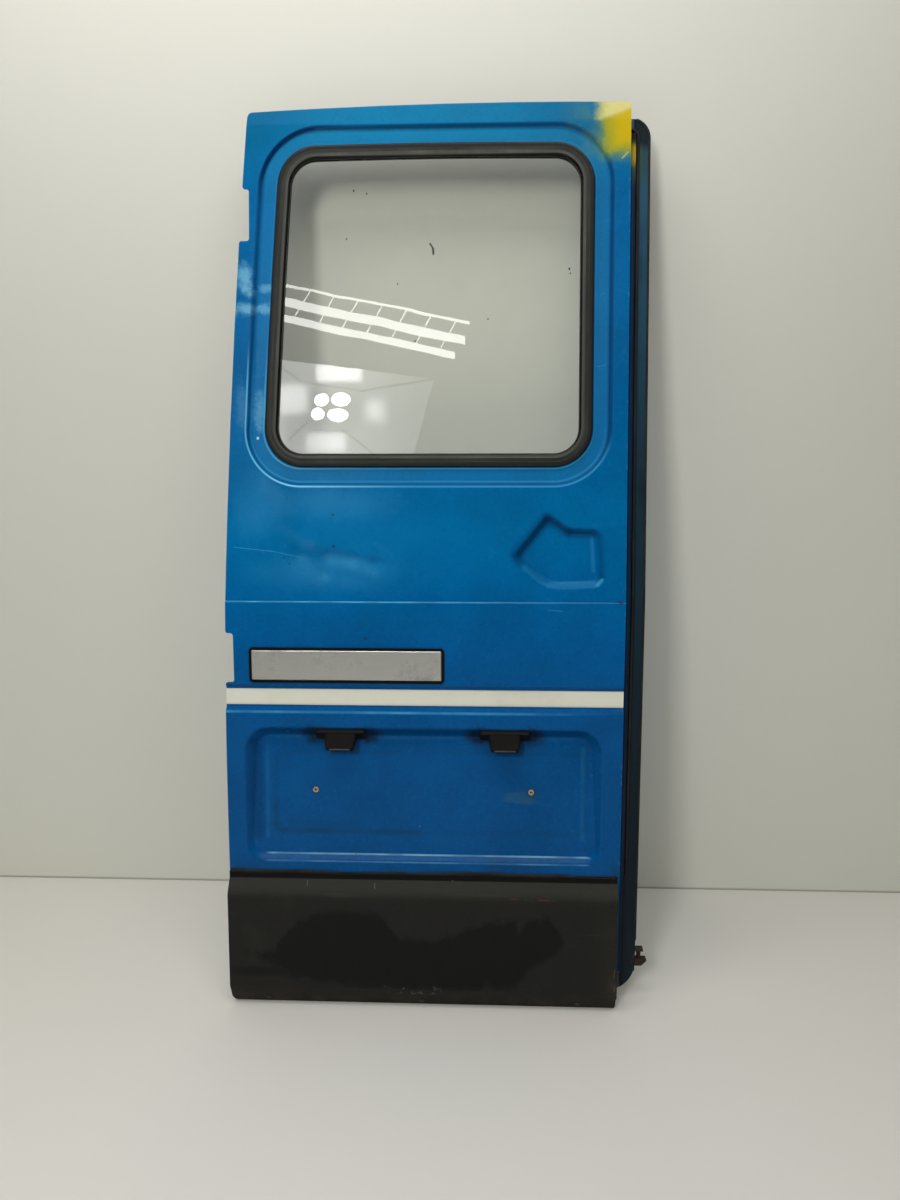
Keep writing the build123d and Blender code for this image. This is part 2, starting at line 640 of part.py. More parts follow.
def striker_pin():
    """Round pin between the ears of the striker."""
    low = STRIKER_LOW_Z + STRIKER_LOW_T
    length = STRIKER_TOP_Z - STRIKER_TOP_T - low
    y = FLANGE_D + INNER_T + (STRIKER_PLATE_T + STRIKER_DEPTH) / 2
    pin = Cylinder(STRIKER_PIN_D / 2, length, align=(Align.CENTER, Align.CENTER, Align.MIN))
    return Pos(FLANGE_EDGE + STRIKER_PIN_OUT, y, low) * pin


def cladding_profile():
    """Side view of the lower cladding: lip, sloped shoulder, face and tucked foot."""
    shoulder_z = CLAD_H - CLAD_LIP_H
    face_out = CLAD_OUT - CLAD_DRAFT
    points = [
        (0, CLAD_H),
        (-CLAD_LIP, CLAD_H),
        (-CLAD_LIP, shoulder_z),
        (-face_out, shoulder_z - CLAD_SLOPE_H),
        (-CLAD_OUT, CLAD_FOOT_H),
        (-CLAD_FOOT_OUT, 0),
        (0, 0),
    ]
    return make_face((Curve() + [Polyline(*points, close=True)]).edges())


def lower_cladding():
    """Hollow plastic cladding, open to the skin, with a rounded lower hinge corner."""
    profile = cladding_profile()
    hollow = offset(profile, -CLAD_T, kind=Kind.INTERSECTION)
    hollow += Pos(2 * CLAD_T, 0) * hollow
    outer = extrude(Plane.YZ * profile, amount=CLAD_W)
    face_edge, shoulder, foot_edge = outer.edges().filter_by(Axis.X).sort_by(Axis.Y)[:3]
    outer = fillet((face_edge, foot_edge), CLAD_EDGE_R)
    outer = fillet(outer.edges().sort_by_distance(shoulder.center())[0], CLAD_SHOULDER_R)
    front = span(0, CLAD_W, 0, CLAD_H)
    for x, radius in ((0, CLAD_HINGE_R), (CLAD_W, CLAD_CORNER_R)):
        front = round_corners(front, (x, 0), radius)
    inside = extrude(Plane.YZ.offset(CLAD_T) * hollow, amount=CLAD_W - 2 * CLAD_T)
    return (outer & prism(front)) - (inside & prism(offset(front, -CLAD_T)))


def cladding_screws():
    """Domed screw heads on the tucked foot of the cladding."""
    slope = atan2(CLAD_OUT - CLAD_FOOT_OUT, CLAD_FOOT_H)
    middle = (-CLAD_FOOT_OUT - SCREW_RISE * tan(slope), SCREW_RISE)
    head = Cylinder(SCREW_D / 2, SCREW_H, align=(Align.CENTER, Align.CENTER, Align.MIN))
    head = fillet(head.edges().sort_by(Axis.Z)[-1], SCREW_DOME_R)
    screws = []
    for x in (SCREW_MARGIN, CLAD_W / 2, CLAD_W - SCREW_MARGIN):
        place = Plane((x, *middle), x_dir=(1, 0, 0), z_dir=(0, -cos(slope), -sin(slope)))
        screws.append(place * head)
    return Compound(screws)


def stripe_band():
    """Stripe laid in the groove across the skin."""
    low = LEDGE_Z + LEDGE_RISE + PROFILE_R + STRIPE_PLAY
    high = GROOVE_TOP_Z - GROOVE_D + WAIST_SET - PROFILE_R - STRIPE_PLAY
    area = OUTLINE & span(0, SKIN_W, low, high)
    return sheet(skin_line(-STRIPE_T), skin_line(0), area)


def nameplate():
    """Blank nameplate: dark base and plain face."""
    middle = (NAME_X + NAME_W / 2, GROOVE_TOP_Z + NAME_RISE + NAME_H / 2)
    seat = FRONT.offset(-WAIST_SET)
    base = Pos(*middle) * RectangleRounded(NAME_W, NAME_H, NAME_R)
    body = extrude(seat * base, amount=NAME_T)
    face = extrude(seat.offset(NAME_T) * offset(base, -NAME_BORDER), amount=NAME_FACE_T)
    return body, chamfer(face.faces().sort_by(Axis.Y)[0].edges(), NAME_BEVEL)


def hood_outline(grow):
    """Outline of a plate lamp's hood."""
    return RectangleRounded(LAMP_BODY_W + 2 * grow, LAMP_BODY_H + 2 * grow, LAMP_BODY_R + grow)


def plate_lamp(x):
    """Number-plate lamp on the sloped top wall of the recess: base, hood and lens."""
    draft = radians(RECESS_DRAFT)
    middle = (x, RECESS_TOP_D / 2, RECESS_TOP - RECESS_TOP_D / 2 * tan(draft))
    wall = Plane(middle, x_dir=(1, 0, 0), z_dir=(0, -sin(draft), -cos(draft)))
    base = extrude(wall * RectangleRounded(LAMP_BASE_W, LAMP_BASE_H, CORNER_R), amount=LAMP_BASE_T)
    hood = drafted(wall.offset(LAMP_BASE_T), hood_outline, LAMP_BODY_T, LAMP_DRAFT)
    top = wall.offset(LAMP_BASE_T + LAMP_BODY_T)
    lens_sketch = SlotOverall(LAMP_LENS_W, LAMP_LENS_H)
    lens = extrude(top.offset(-LAMP_LENS_T) * lens_sketch, amount=LAMP_LENS_T)
    return base, hood - lens, lens


def plate_grommets():
    """Pale bored grommets in the two number-plate fixing holes."""
    grommets = []
    for x, y, z in plate_fixings():
        along = Plane((x, y, z), z_dir=(0, 1, 0))
        shank = extrude(along.offset(-GROMMET_FACE) * Circle(GROMMET_SHANK_D / 2), amount=GROMMET_SHANK)
        face = extrude(along.offset(-GROMMET_FACE) * Circle(GROMMET_D / 2), amount=2 * GROMMET_FACE)
        bore = along * Cylinder(GROMMET_BORE / 2, PAST)
        grommets.append(shank + (face & recess_front(0)) - bore)
    return Compound(grommets)


def build_parts():
    """All pieces of the door by name."""
    pan = frame_pan()
    name_base, name_face = nameplate()
    parts = {
        "outer_skin": outer_skin(),
        "inner_panel": inner_panel(pan),
        "window_frame": window_frame(pan),
        "closing_flange": closing_flange(),
        "flange_seal": flange_seal(),
        "flange_trim": flange_trim(),
        "hinge_plate_lower": hinge_plate(LOWER_HINGE_Z, 0),
        "hinge_plate_upper": hinge_plate(UPPER_HINGE_Z, UPPER_LEAN),
        "window_gasket": window_gasket(),
        "gasket_filler": window_ring(
            FILLER_IN, FILLER_IN + FILLER_W, RUBBER_TOP_W - FILLER_D, RUBBER_TOP_W
        ),
        "window_glass": window_glass(),
        "lower_cladding": lower_cladding(),
        "cladding_screws": cladding_screws(),
        "stripe_band": stripe_band(),
        "nameplate_base": name_base,
        "nameplate_face": name_face,
        "plate_grommets": plate_grommets(),
        "striker_bracket": striker_bracket(),
        "striker_pin": striker_pin(),
    }
    for side, along in (("hinge", -LAMP_PITCH / 2), ("lock", LAMP_PITCH / 2)):
        for piece, shape in zip(("base", "hood", "lens"), plate_lamp(RECESS_MID + along)):
            parts[f"plate_lamp_{piece}_{side}_side"] = shape
    return parts


os.makedirs("parts", exist_ok=True)
for name, shape in build_parts().items():
    export_step(Pos(*[-value for value in ORIGIN]) * shape, f"parts/{name}.step")
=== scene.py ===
import logging
import math
from collections.abc import Callable
from dataclasses import dataclass
from enum import Enum
from functools import cached_property
from typing import Union

import bmesh
import bpy
from mathutils import Matrix, Vector


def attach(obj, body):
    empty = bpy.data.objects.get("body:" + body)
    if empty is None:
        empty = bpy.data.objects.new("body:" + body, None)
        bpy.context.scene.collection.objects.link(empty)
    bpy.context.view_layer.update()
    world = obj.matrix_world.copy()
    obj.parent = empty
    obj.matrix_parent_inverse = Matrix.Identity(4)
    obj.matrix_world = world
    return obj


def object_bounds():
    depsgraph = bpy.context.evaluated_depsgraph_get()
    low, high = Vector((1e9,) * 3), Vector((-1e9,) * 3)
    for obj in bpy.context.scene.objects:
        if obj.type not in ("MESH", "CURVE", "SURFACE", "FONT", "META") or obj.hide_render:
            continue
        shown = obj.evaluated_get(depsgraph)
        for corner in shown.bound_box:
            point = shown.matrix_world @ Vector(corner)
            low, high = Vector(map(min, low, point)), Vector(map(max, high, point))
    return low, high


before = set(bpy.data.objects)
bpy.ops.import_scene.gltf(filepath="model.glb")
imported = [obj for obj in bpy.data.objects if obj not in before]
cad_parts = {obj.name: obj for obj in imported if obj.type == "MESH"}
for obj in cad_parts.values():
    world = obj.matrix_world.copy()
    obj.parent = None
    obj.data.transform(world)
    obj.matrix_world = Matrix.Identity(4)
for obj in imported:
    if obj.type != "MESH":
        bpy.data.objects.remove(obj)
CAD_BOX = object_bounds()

log = logging.getLogger("rear_door")

MM = 0.001
Colour = tuple[float, float, float, float]


def tone(red: int, green: int, blue: int) -> Colour:
    """Turns a colour of a colour chart, 0 to 255 a channel, into linear light.

    Args:
        red: Red channel.
        green: Green channel.
        blue: Blue channel.

    Returns:
        The colour in linear light, with full cover.
    """
    shares = [channel / 255 for channel in (red, green, blue)]
    linear = [share / 12.92 if share <= 0.04045 else ((share + 0.055) / 1.055) ** 2.4 for share in shares]
    return (linear[0], linear[1], linear[2], 1.0)


class Slot(Enum):
    """Material slots of the record."""

    BLUE_PAINT = "blue_paint"
    BLUE_PAINT_INSIDE = "blue_paint_inside"
    BARE_STEEL = "bare_steel"
    RUSTY_STEEL = "rusty_steel"
    SEAL_RUBBER = "seal_rubber"
    WINDOW_RUBBER = "window_rubber"
    CLEAR_GLASS = "clear_glass"
    CLADDING_PLASTIC = "cladding_plastic"
    WHITE_STRIPE = "white_stripe"
    SATIN_TRIM = "satin_trim"
    LAMP_PLASTIC = "lamp_plastic"
    LAMP_LENS = "lamp_lens"
    PALE_PLASTIC = "pale_plastic"


@dataclass(frozen=True)
class DoorFrame:
    """The door's own millimetres: across from its hinge edge, in from its lower skin, up from its foot."""

    across: float = 23.254
    depth: float = 23.6
    height: float = 625
    window: tuple = (58.5, 628, 950, 1483.5)
    window_radius: float = 66
    edge_start: float = 300
    edge_radius: float = 16000

    def point(self, across: float, depth: float, height: float) -> Vector:
        """Place in metres of a point given in the door's millimetres.

        Args:
            across: Distance from the hinge edge.
            depth: Distance into the door from the lower skin.
            height: Distance above the foot of the cladding.

        Returns:
            The point in the scene.
        """
        return Vector(((across - self.across) * MM, (depth - self.depth) * MM, (height - self.height) * MM))


DOOR = DoorFrame()


def joined(operation: str, swapped: bool = False) -> Callable[["Signal", "Feed"], "Signal"]:
    """Makes an operator out of a Math node.

    Args:
        operation: Operation of the node.
        swapped: Whether the value that the operator belongs to comes second.

    Returns:
        The operator.
    """

    def join(value: "Signal", other: "Feed") -> "Signal":
        """Math node on a value and another."""
        pair = (other, value) if swapped else (value, other)
        return value.graph.math(operation, *pair)

    return join


class Signal:
    """A shader value that Python operators can build on."""

    __add__ = joined("ADD")
    __radd__ = joined("ADD", swapped=True)
    __sub__ = joined("SUBTRACT")
    __rsub__ = joined("SUBTRACT", swapped=True)
    __mul__ = joined("MULTIPLY")
    __rmul__ = joined("MULTIPLY", swapped=True)
    __truediv__ = joined("DIVIDE")
    __rtruediv__ = joined("DIVIDE", swapped=True)
    __pow__ = joined("POWER")
    least = joined("MINIMUM")
    most = joined("MAXIMUM")

    def __init__(self, graph: "Graph", socket: bpy.types.NodeSocket) -> None:
        """Keeps the socket and the graph that it belongs to."""
        self.graph = graph
        self.socket = socket

    def __abs__(self) -> "Signal":
        """Size of a value without its sign."""
        return self.graph.math("ABSOLUTE", self)

    def other(self, output: str) -> "Signal":
        """Another output of the node that this value comes from."""
        return Signal(self.graph, self.socket.node.outputs[output])

    def held(self) -> "Signal":
        """The value kept between 0 and 1."""
        return self.least(1).most(0)

    def rise(self, low: float, high: float) -> "Signal":
        """Smooth step from 0 at one value to 1 at another.

        Args:
            low: Value at which the step is 0.
            high: Value at which the step is 1, which may be the smaller of the two.

        Returns:
            The step.
        """
        if low > high:
            return 1 - self.rise(high, low)
        settings = {"interpolation_type": "SMOOTHSTEP"}
        inputs = {"Value": self, "From Min": low, "From Max": high}
        return self.graph.node("ShaderNodeMapRange", settings, inputs)


Feed = Union[Signal, float, int, Colour, tuple[float, float, float]]


class Graph:
    """Nodes of one material or world, with the door's millimetres at hand."""

    def __init__(self, tree: bpy.types.NodeTree, end_kind: str = "ShaderNodeOutputMaterial") -> None:
        """Empties a node tree and gives it an output."""
        self.tree = tree
        self.tree.nodes.clear()
        self.end = self.tree.nodes.new(end_kind)

    @cached_property
    def spot(self) -> Signal:
        """Place on the piece, in metres."""
        return self.node("ShaderNodeTexCoord", output="Object")

    @cached_property
    def across(self) -> Signal:
        """Distance from the hinge edge in millimetres."""
        return self.parts_of(self.spot)[0] * 1000 + DOOR.across

    @cached_property
    def height(self) -> Signal:
        """Height above the foot in millimetres."""
        return self.parts_of(self.spot)[2] * 1000 + DOOR.height

    @cached_property
    def off_window(self) -> Signal:
        """Distance outside the outer edge of the window rubber in millimetres, along the face of the door."""
        margin, lock, low, high = DOOR.window
        climb = (self.height - DOOR.edge_start).most(0)
        hinge = climb * climb / (2 * DOOR.edge_radius) + margin
        side = (self.across - lock).most(hinge - self.across) + DOOR.window_radius
        level = (self.height - high).most(low - self.height) + DOOR.window_radius
        corner = (side.most(0) ** 2 + level.most(0) ** 2) ** 0.5
        return corner + side.most(level).least(0) - DOOR.window_radius

    def feed(self, socket: bpy.types.NodeSocket, value: Feed) -> None:
        """Links a signal to a socket or sets the socket's own value."""
        if isinstance(value, Signal):
            self.tree.links.new(value.socket, socket)
        else:
            socket.default_value = value

    def node(self, kind: str, settings: dict | None = None, inputs: dict | None = None, output=0) -> Signal:
        """Makes any node: its settings first, then the values or links of its sockets.

        Args:
            kind: Type name of the node.
            settings: Properties of the node; stops holds the places and colours of a ramp.
            inputs: Values or signals by socket name or number.
            output: Name or number of the socket to hand back.

        Returns:
            The chosen output.
        """
        made = self.tree.nodes.new(kind)
        for name, value in (settings or {}).items():
            if name == "stops":
                self.set_stops(made, value)
            else:
                setattr(made, name, value)
        for name, value in (inputs or {}).items():
            self.feed(made.inputs[name], value)
        return Signal(self, made.outputs[output])

    def set_stops(self, ramp: bpy.types.Node, stops: list) -> None:
        """Gives a colour ramp its stops, each a place and a colour."""
        elements = ramp.color_ramp.elements
        while len(elements) < len(stops):
            elements.new(1)
        for element, (place, colour) in zip(elements, stops):
            element.position = place
            element.color = colour

    def math(self, operation: str, *values: Feed) -> Signal:
        """Math node on values."""
        return self.node("ShaderNodeMath", {"operation": operation}, dict(enumerate(values)))

    def mix(self, first: Feed, second: Feed, share: Feed) -> Signal:
        """Colour between two colours, by the share of the second."""
        settings = {"data_type": "RGBA", "clamp_factor": True}
        return self.node("ShaderNodeMix", settings, {0: share, 6: first, 7: second}, output=2)

    def vector_math(self, operation: str, first: Feed, second: Feed) -> Signal:
        """Vector Math node on two vectors."""
        return self.node("ShaderNodeVectorMath", {"operation": operation}, {0: first, 1: second})

    def parts_of(self, vector: Signal) -> list[Signal]:
        """The X, Y and Z of a vector."""
        first = self.node("ShaderNodeSeparateXYZ", None, {0: vector})
        return [first, first.other("Y"), first.other("Z")]

    def facing_up(self) -> Signal:
        """Upward part of the surface's own direction."""
        return self.parts_of(self.node("ShaderNodeNewGeometry", output="Normal"))[2]

    def noise(
        self,
        scale: float,
        detail: float = 4,
        rough: float = 0.55,
        stretch: tuple | None = None,
        warp: float = 0,
    ) -> Signal:
        """Cloudy noise over the door.

        Args:
            scale: Features in a metre.
            detail: Octaves of finer noise.
            rough: Weight of the finer noise.
            stretch: Share of the scale along each axis, where it isn't even.
            warp: How far the noise is swirled.

        Returns:
            The noise, about 0.5 on average.
        """
        spot = self.spot if stretch is None else self.vector_math("MULTIPLY", self.spot, stretch)
        inputs = {"Vector": spot, "Scale": scale, "Detail": detail, "Roughness": rough, "Distortion": warp}
        return self.node("ShaderNodeTexNoise", None, inputs)

    def sway(self, reach: float, scale: float, detail: float = 4, rough: float = 0.55) -> Signal:
        """Noise about 0, from minus to plus half of a reach."""
        return (self.noise(scale, detail, rough) - 0.5) * reach

    def specks(self, scale: float, size: float, share: float) -> Signal:
        """Scattered small spots.

        Args:
            scale: Cells in a metre; each cell may hold one spot.
            size: Radius of a spot as a share of its cell.
            share: Share of the cells that hold one.

        Returns:
            A mask, 1 inside the spots.
        """
        cells = self.node("ShaderNodeTexVoronoi", None, {"Vector": self.spot, "Scale": scale})
        pick = self.parts_of(cells.other("Color"))
        reach = cells + (pick[1] - 0.5) * size
        return reach.rise(size, size * 0.6) * pick[0].rise(share, share * 0.9)

    def patch(
        self,
        across: float,
        height: float,
        wide: float,
        tall: float,
        soft: float,
        ragged: Feed = 0,
    ) -> Signal:
        """Round or oval patch on the face of the door.

        Args:
            across: Middle of the patch.
            height: Middle of the patch.
            wide: Half of its width.
            tall: Half of its height.
            soft: Width of its soft edge as a share of its size.
            ragged: Value that shifts the edge in or out.

        Returns:
            A mask, 1 inside the patch.
        """
        run = (self.across - across) / wide
        climb = (self.height - height) / tall
        reach = (run * run + climb * climb) ** 0.5 + ragged
        return reach.rise(1 + soft / 2, 1 - soft / 2)

    def block(self, across: float, height: float, wide: float, tall: float, soft: float) -> Signal:
        """Upright rectangle on the face of the door.

        Args:
            across: Middle of the rectangle.
            height: Middle of the rectangle.
            wide: Half of its width.
            tall: Half of its height.
            soft: Half of the width of its soft edge.

        Returns:
            A mask, 1 inside the rectangle.
        """
        run = abs(self.across - across).rise(wide + soft, wide - soft)
        return run * abs(self.height - height).rise(tall + soft, tall - soft)

    def line(self, start: tuple, stop: tuple, wide: float, core: float = 0.3) -> Signal:
        """Straight scratch or ridge on the face of the door.

        Args:
            start: Place across and height of its start.
            stop: Place across and height of its end.
            wide: Half of its width in millimetres.
            core: Share of the width that is full.

        Returns:
            A mask, 1 along the middle.
        """
        run, climb = stop[0] - start[0], stop[1] - start[1]
        length = run * run + climb * climb
        along = (((self.across - start[0]) * run + (self.height - start[1]) * climb) / length).held()
        side = self.across - start[0] - along * run
        above = self.height - start[1] - along * climb
        return ((side * side + above * above) ** 0.5).rise(wide, wide * core)

    def curve(self, value: Signal, reach: float, points: tuple) -> Signal:
        """Straight runs between points, as a function of one value.

        Args:
            value: Value that the curve is read at.
            reach: Largest size of any value or height of the curve.
            points: Values and heights of the curve.

        Returns:
            The height of the curve.
        """
        stops = [(place / reach, (high / reach, high / reach, high / reach, 1)) for place, high in points]
        ramp = self.node("ShaderNodeValToRGB", {"stops": stops}, {0: value / reach})
        return self.parts_of(ramp)[0] * reach

    def bump(self, relief: Signal, strength: float) -> Signal:
        """Surface direction changed by a relief in millimetres."""
        return self.node("ShaderNodeBump", None, {"Height": relief, "Strength": strength, "Distance": MM})

    def close(self, shader: Signal) -> None:
        """Links a shader to the output."""
        self.feed(self.end.inputs["Surface"], shader)


class Coat:
    """Colour of a surface, built up in layers."""

    def __init__(self, graph: Graph, colour: Feed) -> None:
        """Starts with one colour."""
        self.graph = graph
        self.colour = colour

    def lay(self, colour: Feed, share: Feed) -> None:
        """Lays a colour over the others, by its share."""
        self.colour = self.graph.mix(self.colour, colour, share)

    def lay_lines(self, colour: Feed, rows: tuple, core: float = 0.3, mask: Signal | None = None) -> None:
        """Lays a colour along straight lines.

        Args:
            colour: Colour to lay.
            rows: Start, end, half width and share of each line.
            core: Share of the width that is full.
            mask: Where the lines show, if not everywhere.
        """
        for start, stop, wide, share in rows:
            mark = self.graph.line(start, stop, wide, core)
            if mask is not None:
                mark = mark * mask
            self.lay(colour, mark * share)

    def lay_patches(self, colour: Feed, rows: tuple, soft: float, ragged: Signal) -> None:
        """Lays a colour on oval patches.

        Args:
            colour: Colour to lay.
            rows: Middle across, middle height, half width, half height and share of each patch.
            soft: Width of their soft edge as a share of their size.
            ragged: Value that shifts their edge in or out.
        """
        for across, height, wide, tall, share in rows:
            self.lay(colour, self.graph.patch(across, height, wide, tall, soft, ragged) * share)

    def end(self, rough: Feed, relief: Signal, strength: float, gloss: float = 0.5, metal: Feed = 0) -> None:
        """Ends the material in one shader.

        Args:
            rough: Roughness.
            relief: Relief in millimetres.
            strength: Strength of the relief.
            gloss: Level of the gloss.
            metal: Share of bare metal.
        """
        self.graph.close(self.graph.node("ShaderNodeBsdfPrincipled", None, {
            "Base Color": self.colour,
            "Metallic": metal,
            "Roughness": rough,
            "Normal": self.graph.bump(relief, strength),
            "Specular IOR Level": gloss,
        }))


def new_material(name: str) -> tuple[bpy.types.Material, Graph]:
    """A new material and its nodes."""
    material = bpy.data.materials.new(name)
    material.use_nodes = True
    return material, Graph(material.node_tree)


@dataclass(frozen=True)
class Finish:
    """A finish that can be laid on any piece."""

    name: str
    slot: Slot

    def material(self) -> bpy.types.Material:
        """Makes the finish's material."""
        made, graph = new_material(self.name)
        self.paint(graph)
        return made

    def paint(self, graph: Graph) -> None:
        """Lays out the nodes of the finish."""
        raise NotImplementedError


@dataclass(frozen=True)
class BluePaint(Finish):
    """Worn blue paint of the outer skin: dents, chips, scratches, plate marks and a yellow sprayed corner,
    with painted highlights, reflections and shade and a blue that changes with height.
    """

    # Blue by height, darker low down and lighter at the waist and at the top: painted light and shade for the
    # light falling off down the door.
    tones: tuple = (
        (240, tone(0, 70, 127)), (545, tone(0, 73, 131)), (640, tone(0, 82, 142)), (840, tone(0, 95, 147)),
        (1060, tone(0, 84, 138)), (1400, tone(0, 84, 135)), (1500, tone(4, 99, 139)),
    )
    tall: float = 1550
    worn_share: float = 0.82
    shade: Colour = tone(0, 40, 82)
    highlight_and_scratch: Colour = tone(62, 150, 192)
    gleam: Colour = tone(150, 214, 232)
    reflection_haze: Colour = tone(128, 192, 212)
    faded_and_sheen: Colour = tone(10, 116, 166)
    chip: Colour = tone(30, 38, 42)
    bright_chip: Colour = tone(170, 200, 208)
    grime: Colour = tone(14, 50, 74)
    near_black: Colour = tone(12, 17, 22)
    rust: Colour = tone(44, 44, 40)
    yellow: Colour = tone(172, 148, 14)
    pale_yellow: Colour = tone(184, 178, 118)
    olive: Colour = tone(92, 124, 44)
    outer_rim: float = 32.5
    groove: float = 28.5
    inner_rim: float = 24.5
    rubber_rim: float = 2.4
    recess_lights: tuple = ((273, 0.5), (262.5, 0.2))
    ledge: float = 531
    crease: float = 722.6
    lock_edge: float = 686
    fixings: tuple = (153.5, 531.5)
    plate_lamps: tuple = (200.25, 484.75)
    lamp_ends: tuple = (-46, 46)
    scratches: tuple = (
        ((21, 815), (88, 808), 1, 0.45), ((88, 808), (136, 798), 0.8, 0.45),
        ((556, 711), (580, 709), 0.8, 0.45),
        ((636, 1116), (648, 1118.5), 0.9, 0.45), ((640, 1234), (646, 1237), 0.8, 0.45),
    )
    ripples: tuple = (
        ((104, 830), (150, 806), 26, 1.3), ((150, 806), (190, 770), 24, 1.5),
        ((128, 796), (168, 766), 22, -1.3), ((192, 794), (262, 772), 22, 1.3),
        ((200, 770), (268, 748), 22, -1), ((70, 905), (96, 850), 34, 0.9),
    )
    hollows: tuple = (
        (150, 800, 88, 40, -1), (520, 690, 90, 26, -0.5),
        (330, 860, 110, 40, -0.5), (430, 400, 150, 70, -0.4),
    )
    reflection_hazes: tuple = (
        (42, 1264, 11, 20, 0.42), (49, 1243, 9, 7, 0.3), (44, 1214, 14, 8, 0.42), (77, 1249, 11, 6, 0.32),
        (76, 1215, 12, 8, 0.36), (67, 1044, 9, 24, 0.26), (37, 1050, 9, 30, 0.1),
    )
    sheens: tuple = ((62, 886, 34, 44, 0.16), (198, 892, 80, 24, 0.18), (190, 772, 100, 24, 0.12))
    dent_highlight: tuple = (
        ((140, 793), (180, 766), 17, 0.34), ((186, 792), (226, 786), 18, 0.26),
        ((226, 786), (262, 772), 16, 0.22),
    )
    dent_shade: tuple = (((124, 818), (178, 801), 20, 0.28), ((184, 806), (266, 794), 15, 0.26))
    pocket_shade: tuple = (
        ((503, 805), (552, 864), 17, 0.62), ((552, 865), (590, 840), 13, 0.5),
        ((590, 841), (634, 839), 12, 0.5), ((642, 836), (646, 766), 9, 0.4),
        ((500, 801), (507, 790), 13, 0.5),
    )
    pocket_light: tuple = (
        ((556, 752), (634, 754), 7, 0.2), ((632, 776), (629, 830), 5, 0.14),
        ((638, 753), (646, 762), 4, 0.5), ((516, 782), (548, 756), 8, 0.12),
    )
    floor_edges: tuple = ((67, 384, 3, 84, 0.14), (621, 384, 3, 84, 0.12), (344, 481, 262, 2, 0.1))
    dark_marks: tuple = (
        (192, 817, 2.8), (117, 787, 2), (108, 797, 1.4), (191, 870, 2.4),
        (677, 724, 4), (246, 660, 3), (333, 655, 1.6), (140, 1222, 1.4),
    )

    def corner_spray(self, coat: Coat) -> Signal:
        """Lays the yellow sprayed corner with its soft green edge.

        Args:
            coat: Colour below the spray.

        Returns:
            The mask of the spray.
        """
        graph = coat.graph
        ragged = graph.sway(22, 34, 4, 0.6) + graph.sway(12, 120, 3, 0.6)
        side = graph.across + ragged
        low = graph.height + ragged * 0.8
        mist = side.rise(560, 650) * low.rise(1436, 1482) * graph.noise(26, 4, 0.6).rise(0.32, 0.62)
        green = side.rise(622, 650) * low.rise(1446, 1470)
        spray = side.rise(634, 656) * low.rise(1458, 1478)
        thin = side.rise(674, 646).most(low.rise(1490, 1466))
        bend = graph.height - (graph.across - 644) * 0.36
        pale = (bend + ragged * 0.3).rise(1515, 1526) * side.rise(622, 652)
        coat.lay(self.olive, mist * 0.36)
        coat.lay(self.olive, green * 0.8)
        coat.lay(self.yellow, spray)
        coat.lay(self.olive, spray * thin * 0.5)
        coat.lay(self.pale_yellow, graph.line((672, 1455), (681, 1464), 2.2) * 0.45)
        coat.lay(self.pale_yellow, pale * 0.88)
        return spray.most(pale)

    def surround(self, coat: Coat) -> None:
        """Lays painted shade in the groove of the window surround and painted highlights on its rims and,
        faintly, on the band inside them.

        Args:
            coat: Colour below them.
        """
        graph = coat.graph
        off = graph.off_window
        low = graph.height.rise(1010, 950)
        left = graph.across.rise(240, 110)
        dim = graph.height.rise(1380, 1460).most(graph.across.rise(600, 640)) * (1 - low)
        lit = left * graph.height.rise(1170, 1080)
        bright = low * graph.across.rise(50, 110) * graph.across.rise(340, 190)
        flank = left * (1 - low)
        outer, inner = abs(off - self.outer_rim), abs(off - self.inner_rim)
        # Painted shade in the groove, painted highlights on the rims and the band.
        coat.lay(self.shade, abs(off - self.groove).rise(6, 2) * (dim * 0.5 + flank * 0.4 + 0.22))
        coat.lay(self.highlight_and_scratch, outer.rise(2.6, 0.6) * (low * 0.4 + lit * 0.5 + 0.04))
        coat.lay(self.gleam, outer.rise(1.8, 0.4) * (bright * 0.3 + lit * 0.16))
        coat.lay(self.highlight_and_scratch, inner.rise(2.6, 0.6) * (low * 0.16 + lit * 0.1 + 0.08))
        coat.lay(self.highlight_and_scratch, abs(off - self.rubber_rim).rise(2.4, 0.5) * (low * 0.5 + lit * 0.45 + 0.12))
        coat.lay(self.highlight_and_scratch, off.rise(26, 20) * off.rise(0, 3) * 0.1)

    def pockets(self, coat: Coat) -> None:
        """Lays shade and light on the edges of the handle pocket, the plate recess and the ledge.

        Args:
            coat: Colour below them.
        """
        graph = coat.graph
        coat.lay_lines(self.shade, self.pocket_shade, 0)
        coat.lay_lines(self.highlight_and_scratch, self.pocket_light, 0.2)
        wavy = graph.noise(14, 3).rise(0.3, 0.65)
        broken = wavy * 0.6 + 0.4
        inside = graph.across.rise(60, 76) * graph.across.rise(640, 622) * (wavy * 0.7 + 0.3)
        for height, share in self.recess_lights:
            coat.lay(self.gleam, abs(graph.height - height).rise(2.2, 0.4) * inside * share)
        for across, height, wide, tall, share in self.floor_edges:
            coat.lay(self.highlight_and_scratch, graph.block(across, height, wide, tall, 4) * broken * share)
        wall = graph.block(50, 390, 10, 92, 9).most(graph.block(342, 495, 285, 6, 7))
        coat.lay(self.shade, wall * 0.45)
        ledge = abs(graph.height - self.ledge).rise(3.4, 0.6) * broken
        coat.lay(self.highlight_and_scratch, ledge * graph.across.rise(690, 420) * 0.75)

